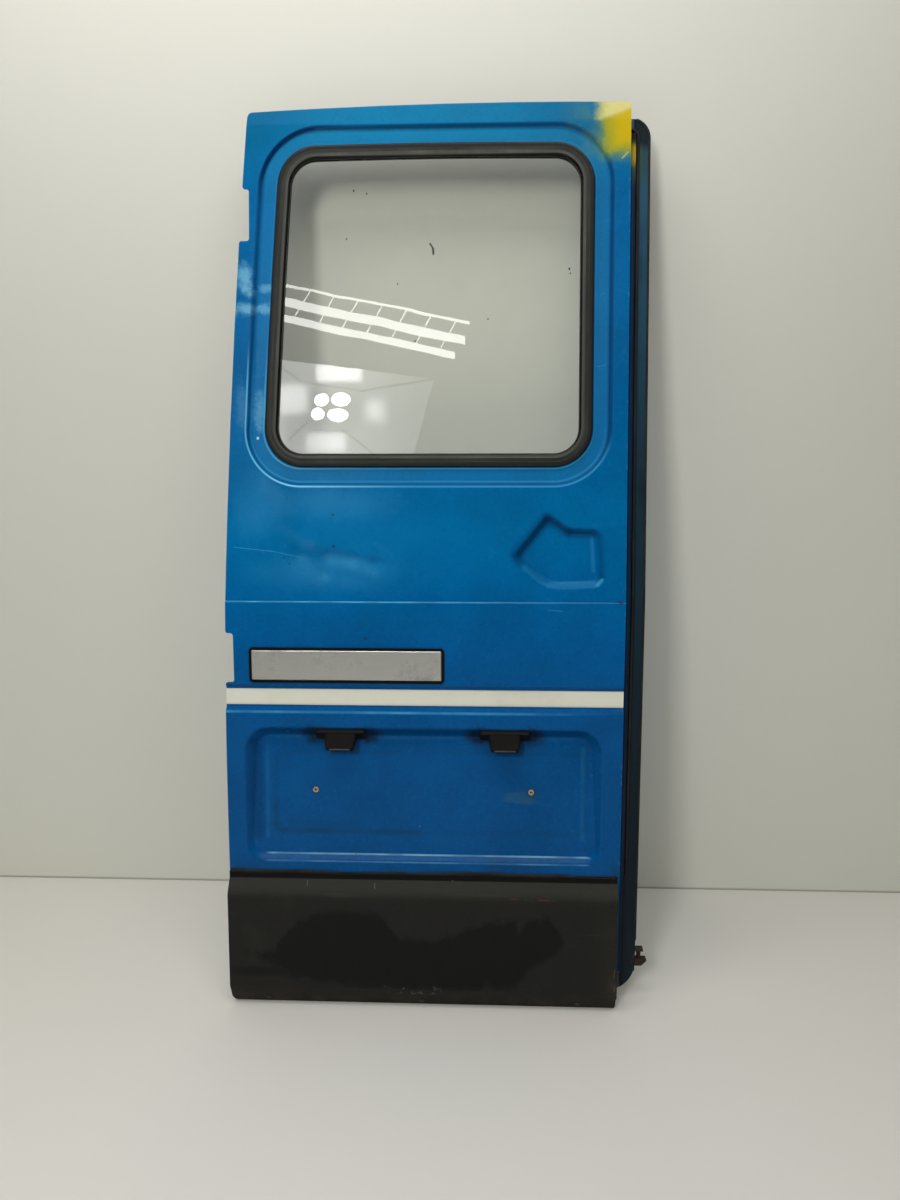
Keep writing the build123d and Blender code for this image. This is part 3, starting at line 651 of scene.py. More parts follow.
    def plate_marks(self, coat: Coat) -> None:
        """Lays the outline of the plate that was there, stains by its fixings and dark smudges by the lamps.

        Args:
            coat: Colour below the marks.
        """
        graph = coat.graph
        wobble = graph.sway(5, 30, 3)
        side = (abs(graph.across - 354) + wobble - 258).most(0)
        climb = (abs(graph.height - 384) + wobble - 58).most(0)
        edge = abs((side * side + climb * climb) ** 0.5 - 13).rise(7, 1.5)
        low_left = graph.patch(150, 322, 170, 70, 1)
        cloud = graph.noise(14, 4).rise(0.35, 0.7)
        coat.lay(self.grime, edge * (low_left * 0.45 + 0.22) * (cloud * 0.6 + 0.4))
        streaks = graph.noise(26, 5, 0.6, (1, 1, 4)).rise(0.46, 0.66) - 0.5
        coat.lay(self.grime, graph.patch(150, 324, 62, 12, 0.9, streaks) * 0.2)
        coat.lay(self.olive, graph.patch(514, 378, 22, 9, 1.2, streaks) * 0.1)
        ragged = graph.sway(0.8, 120, 3)
        for across in self.fixings:
            coat.lay(self.rust, graph.patch(across, 387, 8, 8.5, 1, ragged) * 0.45)
        for across in self.plate_lamps:
            for end in self.lamp_ends:
                coat.lay(self.near_black, graph.patch(across + end, 489, 22, 16, 1.1, ragged) * 0.8)
            coat.lay(self.near_black, graph.patch(across, 478, 44, 18, 1.2, ragged) * 0.4)

    def dents(self, graph: Graph) -> Signal:
        """Relief of the sheet in millimetres: slow waves, pushed dents and a fine paint texture.

        Args:
            graph: Nodes of the material.

        Returns:
            The relief.
        """
        near_edge = graph.across.rise(130, 20)
        relief = graph.noise(5.5, 2, 0.4, (1, 1, 0.8)) * 1.1
        relief = relief + graph.noise(17, 3, 0.5) * (near_edge * 1.1 + 0.12)
        relief = relief + graph.noise(420, 2, 0.5) * 0.018
        for start, stop, wide, high in self.ripples:
            relief = relief + graph.line(start, stop, wide, 0) * high
        for across, height, wide, tall, deep in self.hollows:
            relief = relief + graph.patch(across, height, wide, tall, 1.7) * deep
        return relief

    def wear(self, coat: Coat) -> None:
        """Lays scratches, chips, a painted highlight with some paint wear along the crease, and grime.

        Args:
            coat: Colour below the wear.
        """
        graph = coat.graph
        coat.lay_lines(self.highlight_and_scratch, self.scratches)
        coat.lay(self.bright_chip, graph.patch(62, 999, 2.2, 2.6, 0.7) * 0.7)
        ragged = graph.sway(1.6, 150, 3, 0.6)
        for across, height, size in self.dark_marks:
            coat.lay(self.chip, graph.patch(across, height, size, size * 0.8, 0.8, ragged) * 0.7)
        # Painted highlight along the crease, broken up by noise, with some paint wear.
        crease = abs(graph.height - self.crease).rise(2.1, 0.4) * graph.across.rise(720, 250)
        crease = crease * (graph.noise(16, 4, 0.6).rise(0.3, 0.6) * 0.6 + 0.3)
        coat.lay(self.highlight_and_scratch, crease * 0.9)
        coat.lay(self.bright_chip, graph.specks(48, 0.06, 0.05) * 0.5)
        coat.lay(self.chip, graph.specks(30, 0.045, 0.08) * 0.7)
        edge = (graph.across - self.lock_edge).rise(-3.5, -0.5).most(graph.height.rise(20, 13))
        coat.lay(self.bright_chip, edge * graph.noise(75, 4, 0.65).rise(0.54, 0.64) * 0.06)
        foot = graph.height.rise(300, 240) * graph.noise(18, 5, 0.6).rise(0.4, 0.75)
        coat.lay(self.grime, foot * 0.5)

    def sheen(self, coat: Coat) -> None:
        """Lays painted reflections as pale patches by the hinge edge and as sheens, painted highlights and
        painted shade on the dent, and painted shade at the ends of the top.

        Args:
            coat: Colour below them.
        """
        graph = coat.graph
        # Painted reflections: pale patches by the hinge edge, then sheens.
        coat.lay_patches(self.reflection_haze, self.reflection_hazes, 1.6, graph.sway(3, 70, 5, 0.7))
        sheen_noise = graph.noise(30, 4, 0.6, warp=0.8)
        coat.lay_patches(self.highlight_and_scratch, self.sheens, 1.7, (sheen_noise - 0.5) * 1.4)
        sheen_noise = sheen_noise.rise(0.28, 0.6)
        # Painted shade and painted highlights of the dent.
        coat.lay_lines(self.shade, self.dent_shade, 0, sheen_noise)
        coat.lay_lines(self.highlight_and_scratch, self.dent_highlight, 0, sheen_noise)
        # Painted shade: the ends of the top are laid darker beside the sheen in its middle.
        ends = graph.across.rise(230, 60) + graph.across.rise(440, 600) * 0.8
        coat.lay(self.shade, graph.height.rise(1440, 1500) * ends * 0.3)

    def paint(self, graph: Graph) -> None:
        """Lays out the nodes of the finish."""
        cloud = graph.noise(7, 5, 0.6)
        grain = graph.noise(900, 2, 0.6)
        peel = graph.noise(170, 3, 0.6)
        bloom = graph.noise(22, 6, 0.65, (1, 1, 1.4), 0.6).rise(0.58, 0.8)
        # A soft pale patch over the dent: painted reflection.
        soft_mark = graph.patch(175, 800, 130, 70, 1.5, graph.sway(1.5, 32, 5))
        # Painted light and shade: the blue changes with height after the tones.
        stops = [(height / self.tall, colour) for height, colour in self.tones]
        blue = graph.node("ShaderNodeValToRGB", {"stops": stops}, {0: graph.height / self.tall})
        deep = graph.vector_math("MULTIPLY", blue, (self.worn_share, self.worn_share, self.worn_share))
        coat = Coat(graph, blue)
        coat.lay(deep, cloud.rise(0.35, 0.68))
        coat.lay(self.faded_and_sheen, (grain - 0.4).held() * 0.35)
        coat.lay(self.faded_and_sheen, peel.rise(0.5, 0.78) * 0.16)
        coat.lay(self.shade, peel.rise(0.5, 0.24) * 0.14)
        coat.lay(self.faded_and_sheen, bloom * 0.16)
        coat.lay(self.faded_and_sheen, soft_mark * 0.22)
        self.sheen(coat)
        self.surround(coat)
        self.pockets(coat)
        self.plate_marks(coat)
        self.wear(coat)
        spray = self.corner_spray(coat)
        coat.end(
            rough=0.17 + cloud * 0.08 + bloom * 0.14 + soft_mark * 0.06 + spray * 0.3,
            relief=self.dents(graph),
            strength=0.75,
            gloss=0.09,
        )


@dataclass(frozen=True)
class InsidePaint(Finish):
    """Thinner, duller blue paint of the inner frame: dust on ledges, runs, and rust at edges and holes."""

    blue: Colour = tone(10, 76, 116)
    dark: Colour = tone(22, 48, 62)
    dust: Colour = tone(128, 122, 106)
    rust: Colour = tone(92, 56, 32)
    spray: Colour = tone(150, 134, 30)
    near_black: Colour = tone(10, 12, 12)

    def paint(self, graph: Graph) -> None:
        """Lays out the nodes of the finish."""
        cloud = graph.noise(9, 5, 0.62)
        runs = graph.noise(24, 4, 0.6, (1, 1, 0.12))
        coat = Coat(graph, self.blue)
        coat.lay(self.dark, cloud.rise(0.32, 0.72) * 0.7)
        coat.lay(self.dark, runs.rise(0.5, 0.72) * 0.5)
        edge = graph.across.rise(688, 706)
        coat.lay(self.dark, edge * 0.55)
        up = graph.facing_up().rise(0.35, 0.95)
        settled = (up * 0.7 + 0.06) * graph.noise(40, 5, 0.6).rise(0.25, 0.7)
        coat.lay(self.dust, settled)
        foot = graph.height.rise(150, 20) * 0.35 + graph.across.rise(704, 719) * graph.height.rise(140, 40)
        rusty = (graph.noise(30, 6, 0.68) + foot * 0.3).rise(0.62, 0.74)
        coat.lay(self.rust, rusty * 0.85)
        yellow = (graph.height + graph.sway(18, 60, 3)).rise(1448, 1480) * graph.across.rise(686, 690)
        yellow = yellow * graph.across.rise(702, 694) * graph.height.rise(1490, 1478)
        coat.lay(self.near_black, edge * graph.height.rise(1474, 1490))
        coat.lay(self.spray, yellow * 0.8)
        coat.end(
            rough=0.42 + cloud * 0.14 + settled * 0.25 + rusty * 0.2,
            relief=graph.noise(6, 2) * 0.7 + graph.noise(300, 3) * 0.03 + rusty * 0.06,
            strength=0.7,
        )


@dataclass(frozen=True)
class FlangePaint(Finish):
    """Dark blue paint of the closing flange, paler towards its top, darker downwards from dirt and painted
    shade, with a line of painted shade in the corner of its step.
    """

    teal: Colour = tone(34, 68, 86)
    navy: Colour = tone(6, 46, 80)
    dark: Colour = tone(8, 13, 17)
    yellow: Colour = tone(150, 126, 22)
    olive: Colour = tone(62, 84, 40)
    moss: Colour = tone(36, 54, 50)
    rust: Colour = tone(66, 44, 30)
    step: float = 696

    def paint(self, graph: Graph) -> None:
        """Lays out the nodes of the finish."""
        cloud = graph.noise(11, 5, 0.62)
        runs = graph.noise(30, 4, 0.6, (1, 1, 0.1))
        outer = graph.across.rise(self.step, self.step + 3)
        coat = Coat(graph, self.navy)
        coat.lay(self.teal, outer)
        # Darker downwards on the outer band and darker on the inner band: dirt and painted shade.
        dulled = graph.height.rise(1420, 900) * 0.62 + graph.height.rise(900, 300) * 0.24
        coat.lay(self.dark, dulled * outer + (1 - outer) * 0.3)
        coat.lay(self.dark, cloud.rise(0.4, 0.75) * 0.35 + runs.rise(0.52, 0.72) * 0.3)
        # Painted shade: a dark line in the corner of the step.
        coat.lay(self.dark, abs(graph.across - self.step).rise(4.5, 0.5) * 0.8)
        climb = graph.height + graph.sway(16, 60, 3)
        coat.lay(self.moss, climb.rise(1400, 1462) * 0.6)
        coat.lay(self.dark, graph.height.rise(1472, 1490) * 0.85)
        mist = climb.rise(1410, 1460) * graph.across.rise(712, 700) * graph.height.rise(1494, 1476)
        coat.lay(self.olive, mist * 0.55)
        spray = climb.rise(1440, 1462) * graph.across.rise(703, 695) * graph.height.rise(1486, 1474)
        coat.lay(self.yellow, spray * 0.85)
        rusty = (graph.noise(34, 6, 0.68) + graph.height.rise(160, 30) * 0.1).rise(0.66, 0.76)
        coat.lay(self.rust, rusty * 0.7)
        coat.end(
            rough=0.38 + cloud * 0.16 + rusty * 0.2,
            relief=graph.noise(9, 3) * 0.5 + graph.noise(300, 3) * 0.03,
            strength=0.7,
            gloss=0.15,
        )


@dataclass(frozen=True)
class SheetSteel(Finish):
    """Dull or rusted steel of plates and fasteners."""

    metal: Colour = tone(120, 116, 110)
    stain: Colour = tone(66, 50, 38)
    fresh_rust: Colour = tone(112, 62, 30)
    rusted: float = 0.35
    shine: float = 0.75

    def paint(self, graph: Graph) -> None:
        """Lays out the nodes of the finish."""
        pits = graph.noise(160, 6, 0.7)
        cloud = graph.noise(60, 5, 0.6)
        rust = (cloud + pits * 0.3).rise(0.92 - self.rusted * 0.7, 1.02 - self.rusted * 0.6)
        coat = Coat(graph, self.metal)
        coat.lay(self.stain, rust)
        coat.lay(self.fresh_rust, (pits.rise(0.6, 0.8) * rust) * 0.5)
        coat.end(
            rough=0.42 + rust * 0.4 + pits * 0.1,
            relief=pits * 0.12 + rust * 0.05,
            strength=0.9,
            metal=(1 - rust) * self.shine,
        )


@dataclass(frozen=True)
class Rubber(Finish):
    """Rubber with a dusty bloom, from fresh black to chalky grey."""

    black: Colour = tone(20, 20, 20)
    bloom: Colour = tone(70, 70, 64)
    speck: Colour = tone(120, 116, 104)
    chalk: float = 0.4
    rough: float = 0.55

    def paint(self, graph: Graph) -> None:
        """Lays out the nodes of the finish."""
        cloud = graph.noise(14, 5, 0.6)
        fine = graph.noise(260, 4, 0.65)
        up = graph.facing_up().rise(0, 1)
        dusty = (cloud.rise(0.3, 0.7) * 0.6 + fine.rise(0.45, 0.7) * 0.25 + up * 0.35).held() * self.chalk
        coat = Coat(graph, self.black)
        coat.lay(self.bloom, dusty)
        coat.lay(self.speck, graph.specks(90, 0.06, 0.06) * 0.5)
        coat.end(
            rough=self.rough + dusty * 0.2 + (fine - 0.5) * 0.12,
            relief=fine * 0.03 + graph.noise(30, 3) * 0.15,
            strength=0.8,
            gloss=0.2,
        )


@dataclass(frozen=True)
class WindowRubber(Finish):
    """Aged window rubber: a painted highlight in grey on its raised inner roll and a thin one by its inner
    lip, dull outside that, black beside the glass and the sheet.
    """

    black: Colour = tone(7, 7, 7)
    dull: Colour = tone(30, 31, 30)
    grey: Colour = tone(56, 57, 53)
    chalk: Colour = tone(84, 84, 78)
    roll: float = 14
    lip: float = 19.6

    def paint(self, graph: Graph) -> None:
        """Lays out the nodes of the finish."""
        cloud = graph.noise(10, 5, 0.6)
        fine = graph.noise(240, 4, 0.65)
        streak = graph.noise(20, 5, 0.65, (1, 1, 0.25))
        inward = 0 - graph.off_window
        off_roll = abs(inward - self.roll)
        raised = off_roll.rise(7, 2)
        coat = Coat(graph, self.dull)
        # Painted highlight: grey along the raised inner roll, with chalky streaks on it.
        coat.lay(self.grey, raised * (0.8 + cloud * 0.4))
        coat.lay(self.chalk, raised * streak.rise(0.46, 0.7) * 0.5 + (fine - 0.5).held() * 0.2)
        # Painted highlight: a thin pale line just inside the black lip.
        coat.lay(self.chalk, abs(inward - self.lip + 1.4).rise(1.5, 0.4) * 0.4)
        foot = graph.height.rise(990, 966) * off_roll.rise(5, 1)
        coat.lay(self.chalk, foot * graph.noise(18, 4, 0.6, (0.3, 1, 1)).rise(0.3, 0.6) * 0.7)
        coat.lay(self.black, inward.rise(self.lip, self.lip + 1.2).most(inward.rise(2.4, 0.6)))
        coat.lay(self.black, graph.specks(26, 0.07, 0.12) * 0.6)
        coat.end(
            rough=0.3 + raised * 0.16 + (fine - 0.5) * 0.14,
            relief=fine * 0.03 + graph.noise(26, 3) * 0.3,
            strength=0.8,
            gloss=0.2,
        )


@dataclass(frozen=True)
class Glass(Finish):
    """Clear toughened pane, faintly green, with a mirror gloss, a few specks and a thin film of dust."""

    clear: Colour = tone(254, 255, 253)
    dust: Colour = tone(150, 150, 138)
    speck: Colour = tone(16, 22, 14)
    silver: Colour = tone(255, 255, 255)
    gloss: float = 1.8
    specks: tuple = (
        (587, 1277, 1.6), (588.5, 1270, 1.1), (226, 1409, 1.4), (248, 1404, 1.1),
        (330, 1160, 1.3), (300, 1255, 1.1), (452, 1196, 1.1), (214, 1330, 1.1),
    )
    hair: tuple = (((354.5, 1321), (359.5, 1313), 2), ((359.5, 1313), (360, 1304), 2.6))

    def paint(self, graph: Graph) -> None:
        """Lays out the nodes of the finish; only the face towards the viewer shines and carries the dirt."""
        front = 1 - graph.node("ShaderNodeNewGeometry", output="Backfacing")
        film = graph.noise(9, 4, 0.6).rise(0.4, 0.8)
        marks = graph.line(*self.hair[0]).most(graph.line(*self.hair[1]))
        for across, height, wide in self.specks:
            marks = marks.most(graph.patch(across, height, wide, wide * 1.3, 0.8))
        dirt = graph.node("ShaderNodeBsdfPrincipled", None, {
            "Base Color": graph.mix(self.dust, self.speck, marks.rise(0, 0.3)),
            "Roughness": 0.6,
        })
        clear = graph.node("ShaderNodeBsdfTransparent", None, {"Color": self.clear})
        mirror = graph.node("ShaderNodeBsdfPrincipled", None, {
            "Base Color": self.silver,
            "Metallic": 1,
            "Roughness": 0,
            "Normal": graph.bump(graph.noise(8, 2, 0.4) * 0.16, 1),
        })
        shine = graph.node("ShaderNodeFresnel", None, {"IOR": self.gloss})
        pane = graph.node("ShaderNodeMixShader", None, {0: shine * front, 1: clear, 2: mirror})
        cover = (film * 0.05 + 0.01).most(marks * 0.9) * front
        graph.close(graph.node("ShaderNodeMixShader", None, {0: cover, 1: pane, 2: dirt}))


@dataclass(frozen=True)
class CladdingPlastic(Finish):
    """Charcoal plastic, greyed and scuffed, with a wiped darker patch in its middle."""

    grey: Colour = tone(31, 31, 29)
    wiped: Colour = tone(17, 18, 16)
    lip: Colour = tone(16, 16, 15)
    scuff_and_sheen: Colour = tone(66, 66, 60)
    mark: Colour = tone(186, 180, 166)
    red: Colour = tone(104, 40, 44)
    earth: Colour = tone(72, 60, 46)
    lip_low: float = 231
    reach: float = 700
    patch_top: tuple = (
        (34, 104), (80, 106), (115, 154), (141, 182), (206, 184), (267, 174), (298, 135), (368, 131),
        (470, 163), (505, 169), (513, 140), (524, 165), (566, 175), (590, 134), (612, 60),
    )
    patch_low: tuple = (
        (34, 104), (66, 84), (115, 54), (237, 38), (394, 39), (440, 38),
        (452, 54), (470, 40), (505, 44), (535, 78), (566, 100), (598, 134),
    )
    white_scuffs: tuple = (
        ((140, 222), (139, 228), 1.2, 0.12), ((259, 219), (258, 226), 1.2, 0.12),
        ((678, 44), (678.5, 52), 1.8, 0.12), ((677, 66), (678, 84), 0.8, 0.12),
    )

    def wiped_patch(self, graph: Graph) -> Signal:
        """Mask of the patch where the grey film is wiped off.

        Args:
            graph: Nodes of the material.

        Returns:
            The mask.
        """
        slow = graph.sway(60, 9, 3, 0.5)
        ragged = graph.sway(40, 46, 5, 0.7)
        place = graph.across + slow * 0.7 + ragged * 0.5
        top = graph.curve(place, self.reach, self.patch_top) + slow * 0.3 + ragged
        low = graph.curve(place, self.reach, self.patch_low) + slow * 0.3 - ragged
        mask = (top - graph.height).rise(-7, 9) * (graph.height - low).rise(-9, 12)
        return mask.most(graph.patch(60, 66, 56, 9, 0.8, ragged * 0.02) * 0.8)

    def paint(self, graph: Graph) -> None:
        """Lays out the nodes of the finish."""
        cloud = graph.noise(11, 5, 0.62)
        fine = graph.noise(420, 4, 0.7)
        wiped = self.wiped_patch(graph)
        coat = Coat(graph, self.grey)
        coat.lay(self.scuff_and_sheen, cloud.rise(0.5, 0.85) * 0.2 + (fine - 0.42).held() * 0.4)
        # Painted light: the sloping top band is laid lighter where it faces up.
        coat.lay(self.scuff_and_sheen, graph.height.rise(196, 222) * 0.3)
        coat.lay(self.wiped, wiped * 0.85)
        # Painted shade: the top lip is near-black for the shaded gap against the skin.
        coat.lay(self.lip, graph.height.rise(self.lip_low - 1, self.lip_low + 1.5))
        drag = graph.noise(30, 5, 0.65, (0.12, 1, 2.2)).rise(0.62, 0.8)
        coat.lay(self.scuff_and_sheen, drag * (1 - wiped) * 0.3)
        low = graph.patch(322, 36, 52, 9, 0.9, graph.sway(2, 70, 4))
        coat.lay(self.mark, low * graph.noise(90, 5, 0.7).rise(0.56, 0.66) * 0.16)
        coat.lay_lines(self.mark, self.white_scuffs)
        # A red rub mark along a line.
        soft_mark = graph.line((498, 208), (572, 206), 1.3) * graph.noise(60).rise(0.4, 0.55)
        coat.lay(self.red, soft_mark * 0.7)
        earth = graph.height.rise(40, 4) * graph.noise(24, 5, 0.6).rise(0.4, 0.7)
        corner = graph.across.rise(640, 674) * graph.height.rise(110, 40) * cloud.rise(0.35, 0.6)
        coat.lay(self.earth, (earth * 0.4).most(corner * 0.5))
        coat.lay(self.mark, graph.specks(70, 0.05, 0.06) * 0.4)
        coat.end(
            rough=0.56 - wiped * 0.2 + cloud * 0.08,
            relief=fine * 0.05 + graph.noise(4, 2) * 1.2 + graph.noise(1500, 1) * 0.02,
            strength=0.7,
            gloss=0.1,
        )


@dataclass(frozen=True)
class StripeFilm(Finish):
    """Cream-white stripe with some dirt, darker along its lower and upper edges."""

    cream: Colour = tone(207, 207, 193)
    dirt: Colour = tone(150, 142, 118)
    speck: Colour = tone(70, 78, 80)
    low: float = 543
    high: float = 571

    def paint(self, graph: Graph) -> None:
        """Lays out the nodes of the finish."""
        cloud = graph.noise(12, 5, 0.62)
        streak = graph.noise(40, 5, 0.65, (0.15, 1, 1))
        edge = graph.height.rise(self.low + 5, self.low).most(graph.height.rise(self.high - 3, self.high))
        dirt_and_dark_edges = cloud.rise(0.45, 0.8) * 0.3 + streak.rise(0.55, 0.8) * 0.25 + edge * 0.4
        coat = Coat(graph, self.cream)
        coat.lay(self.dirt, dirt_and_dark_edges * 0.8)
        coat.lay(self.speck, graph.specks(60, 0.05, 0.1) * 0.7)
        coat.end(
            rough=0.34 + dirt_and_dark_edges * 0.25,
            relief=graph.noise(5.5, 2, 0.4) * 1 + graph.noise(500, 2) * 0.015,
            strength=0.6,
        )


@dataclass(frozen=True)
class SatinTrim(Finish):
    """Satin silver face with a fine brushed grain and worn spots."""

    silver: Colour = tone(200, 200, 194)
    dull: Colour = tone(120, 122, 118)
    speck: Colour = tone(34, 38, 40)

    def paint(self, graph: Graph) -> None:
        """Lays out the nodes of the finish."""
        brushed = graph.noise(60, 4, 0.7, (0.3, 1, 14))
        dulled = graph.noise(20, 5, 0.62).rise(0.55, 0.74)
        coat = Coat(graph, self.silver)
        coat.lay(self.dull, dulled * 0.6 + (brushed - 0.4).held() * 0.4)
        coat.lay(self.speck, graph.specks(80, 0.07, 0.1) * 0.7)
        coat.end(
            rough=0.36 + dulled * 0.2 + (brushed - 0.5) * 0.2,
            relief=brushed * 0.04,
            strength=0.7,
            metal=0.82 - dulled * 0.3,
        )


@dataclass(frozen=True)
class MouldedPlastic(Finish):
    """Small moulded plastic piece with a fine grain and dust on its upper sides."""

    plastic: Colour = tone(13, 12, 12)
    dust: Colour = tone(36, 32, 28)
    dusty: float = 0.4
    rough: float = 0.5

    def paint(self, graph: Graph) -> None:
        """Lays out the nodes of the finish."""
        fine = graph.noise(700, 3, 0.6)
        cloud = graph.noise(70, 5, 0.62)
        up = graph.facing_up().rise(-0.2, 0.9)
        dusty = (cloud.rise(0.4, 0.75) * 0.6 + up * 0.4) * self.dusty
        coat = Coat(graph, self.plastic)
        coat.lay(self.dust, dusty)
        coat.end(
            rough=self.rough + dusty * 0.3,
            relief=fine * 0.03 + cloud * 0.06,
            strength=0.8,
            gloss=0.1,
        )


def put(name: str, data: bpy.types.ID) -> bpy.types.Object:
    """A new object of the scene around a mesh, a lamp or a camera."""
    made = bpy.data.objects.new(name, data)
    bpy.context.scene.collection.objects.link(made)
    return made


def mesh_data(name: str, mesh: bmesh.types.BMesh) -> bpy.types.Mesh:
    """Turns a working mesh into mesh data and frees it.

    Args:
        name: Name of the mesh data.
        mesh: Working mesh.

    Returns:
        The mesh data.
    """
    data = bpy.data.meshes.new(name)
    mesh.to_mesh(data)
    mesh.free()
    return data


def flat_mesh(name: str, outlines: list[list[Vector]]) -> bpy.types.Mesh:
    """Mesh of flat faces.

    Args:
        name: Name of the mesh data.
        outlines: Corners of each face, in order about its seen side.

    Returns:
        The mesh data.
    """
    mesh = bmesh.new()
    for outline in outlines:
        mesh.faces.new([mesh.verts.new(corner) for corner in outline])
    return mesh_data(name, mesh)


class Workshop:
    """Lays finishes on pieces and keeps each material once."""

    def __init__(self) -> None:
        """Starts with no material made."""
        self.made: dict[Finish, bpy.types.Material] = {}

    def lay(self, piece: bpy.types.Object, finish: Finish) -> None:
        """Lays a finish on a piece and reports it.

        Args:
            piece: Piece to dress.
            finish: Finish to lay on it.
        """
        if finish not in self.made:
            self.made[finish] = finish.material()
        piece.data.materials.clear()
        piece.data.materials.append(self.made[finish])
        log.info("%s has %s", piece.name, finish.name)

    def lay_nodes(self, finish: Finish, *names: str) -> None:
        """Lays a finish on solids of the frame by name."""
        for name in names:
            self.lay(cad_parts[name], finish)

    def add(self, name: str, mesh: bmesh.types.BMesh, finish: Finish) -> None:
        """Makes a piece of its own from a mesh and lets it ride the door.

        Args:
            name: Name of the piece.
            mesh: Its shape.
            finish: Its finish.
        """
        data = mesh_data(name, mesh)
        for polygon in data.polygons:
            polygon.use_smooth = True
        piece = put(name, data)
        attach(piece, "root")
        self.lay(piece, finish)


@dataclass
class OuterSkin:
    """Pressed outer skin and the stripe across it."""

    workshop: Workshop
    paint: Finish = BluePaint("worn_blue_paint", Slot.BLUE_PAINT)
    film: Finish = StripeFilm("cream_stripe", Slot.WHITE_STRIPE)

    def dress(self) -> None:
        """Lays paint on the skin and film on the stripe."""
        self.workshop.lay_nodes(self.paint, "outer_skin")
        self.workshop.lay_nodes(self.film, "stripe_band")


@dataclass
class InnerFrame:
    """Inner panel, window frame, closing flange and the plates behind the hinge seats."""

    workshop: Workshop
    paint: Finish = InsidePaint("dull_inside_paint", Slot.BLUE_PAINT_INSIDE)
    flange: Finish = FlangePaint("flange_paint", Slot.BLUE_PAINT_INSIDE)
    steel: Finish = SheetSteel("dull_steel", Slot.BARE_STEEL)

    def dress(self) -> None:
        """Lays paint on the frame and bare steel on its plates."""
        self.workshop.lay_nodes(self.paint, "inner_panel", "window_frame")
        self.workshop.lay_nodes(self.flange, "closing_flange")
        self.workshop.lay_nodes(self.steel, "hinge_plate_lower", "hinge_plate_upper")


@dataclass
class ClosingEdge:
    """Seal, edge trim and striker of the lock edge."""

    workshop: Workshop
    rubber: Finish = Rubber("closing_rubber", Slot.SEAL_RUBBER, chalk=0.3)
    rust: Finish = SheetSteel(
        "rusty_striker", Slot.RUSTY_STEEL,
        metal=tone(52, 46, 42), stain=tone(44, 32, 24), rusted=0.8, shine=0.5,
    )

    def dress(self) -> None:
        """Lays rubber on the seals and rust on the striker."""
        self.workshop.lay_nodes(self.rubber, "flange_seal", "flange_trim")
        self.workshop.lay_nodes(self.rust, "striker_bracket", "striker_pin")


@dataclass
class FixedWindow:
    """Glass with its rubber and the locking strip in the rubber."""

    workshop: Workshop
    aged: Finish = WindowRubber("aged_window_rubber", Slot.WINDOW_RUBBER)
    strip: Finish = Rubber("locking_strip_rubber", Slot.WINDOW_RUBBER, black=tone(30, 30, 28), rough=0.4)
    pane: Finish = Glass("window_pane", Slot.CLEAR_GLASS)

    def dress(self) -> None:
        """Lays aged rubber and clear glass."""
        self.workshop.lay_nodes(self.aged, "window_gasket")
        self.workshop.lay_nodes(self.strip, "gasket_filler")
        self.workshop.lay_nodes(self.pane, "window_glass")


@dataclass
class LowerCladding:
    """Plastic cladding with its screws and the rubber strip squeezed out along its top."""

    workshop: Workshop
    plastic: Finish = CladdingPlastic("scuffed_cladding", Slot.CLADDING_PLASTIC)
    screws: Finish = SheetSteel(
        "dark_screws", Slot.BARE_STEEL,
        metal=tone(44, 42, 40), stain=tone(40, 32, 26), rusted=0.5, shine=0.4,
    )
    rubber: Finish = Rubber("squeezed_strip_rubber", Slot.SEAL_RUBBER, black=tone(17, 17, 17), chalk=0.25)
    length: float = 682
    top: float = 243
    seal_depth: float = 3.4
    steps: int = 180

    def seal_height(self, across: float) -> float:
        """How far the squeezed strip stands above the cladding at one place, in millimetres."""
        slow = math.sin(across / 61 + 0.6) + 0.6 * math.sin(across / 23 + 1.9)
        return 2.6 + 1.3 * (slow + 0.3 * math.sin(across / 9))

    def seal_section(self, across: float) -> list[Vector]:
        """Section of the squeezed strip at one place.

        Args:
            across: Distance from the hinge edge.

        Returns:
            The corners of the section.
        """
        high = self.top + self.seal_height(across)
        low = self.top - 3
        out = self.seal_depth
        corners = (
            (-0.2, low), (-out, low), (-out, high - 2.4),
            (-out * 0.8, high - 0.9), (-out * 0.4, high), (-0.2, high - 0.3),
        )
        return [DOOR.point(across, depth, height) for depth, height in corners]

    def seal_strip(self) -> bmesh.types.BMesh:
        """Rounded strip of uneven height between the cladding and the skin.

        Returns:
            The strip's mesh.
        """
        mesh = bmesh.new()
        rings = []
        for index in range(self.steps + 1):
            across = 2 + (self.length - 4) * index / self.steps
            rings.append([mesh.verts.new(corner) for corner in self.seal_section(across)])
        for first, second in zip(rings, rings[1:]):
            for corner in range(len(first)):
                after = (corner + 1) % len(first)
                mesh.faces.new((first[corner], second[corner], second[after], first[after]))
        mesh.faces.new(rings[0])
        mesh.faces.new(list(reversed(rings[-1])))
        bmesh.ops.recalc_face_normals(mesh, faces=mesh.faces)
        return mesh

    def dress(self) -> None:
        """Lays plastic on the cladding, steel on its screws and adds the strip."""
        self.workshop.lay_nodes(self.plastic, "lower_cladding")
        self.workshop.lay_nodes(self.screws, "cladding_screws")
        self.workshop.add("cladding_seal_strip", self.seal_strip(), self.rubber)


@dataclass
class Nameplate:
    """Blank nameplate above the stripe."""

    workshop: Workshop
    base: Finish = MouldedPlastic("nameplate_plastic", Slot.LAMP_PLASTIC, dusty=0.25)
    face: Finish = SatinTrim("satin_face", Slot.SATIN_TRIM)

    def dress(self) -> None:
        """Lays dark plastic on the base and satin silver on the face."""
        self.workshop.lay_nodes(self.base, "nameplate_base")
        self.workshop.lay_nodes(self.face, "nameplate_face")


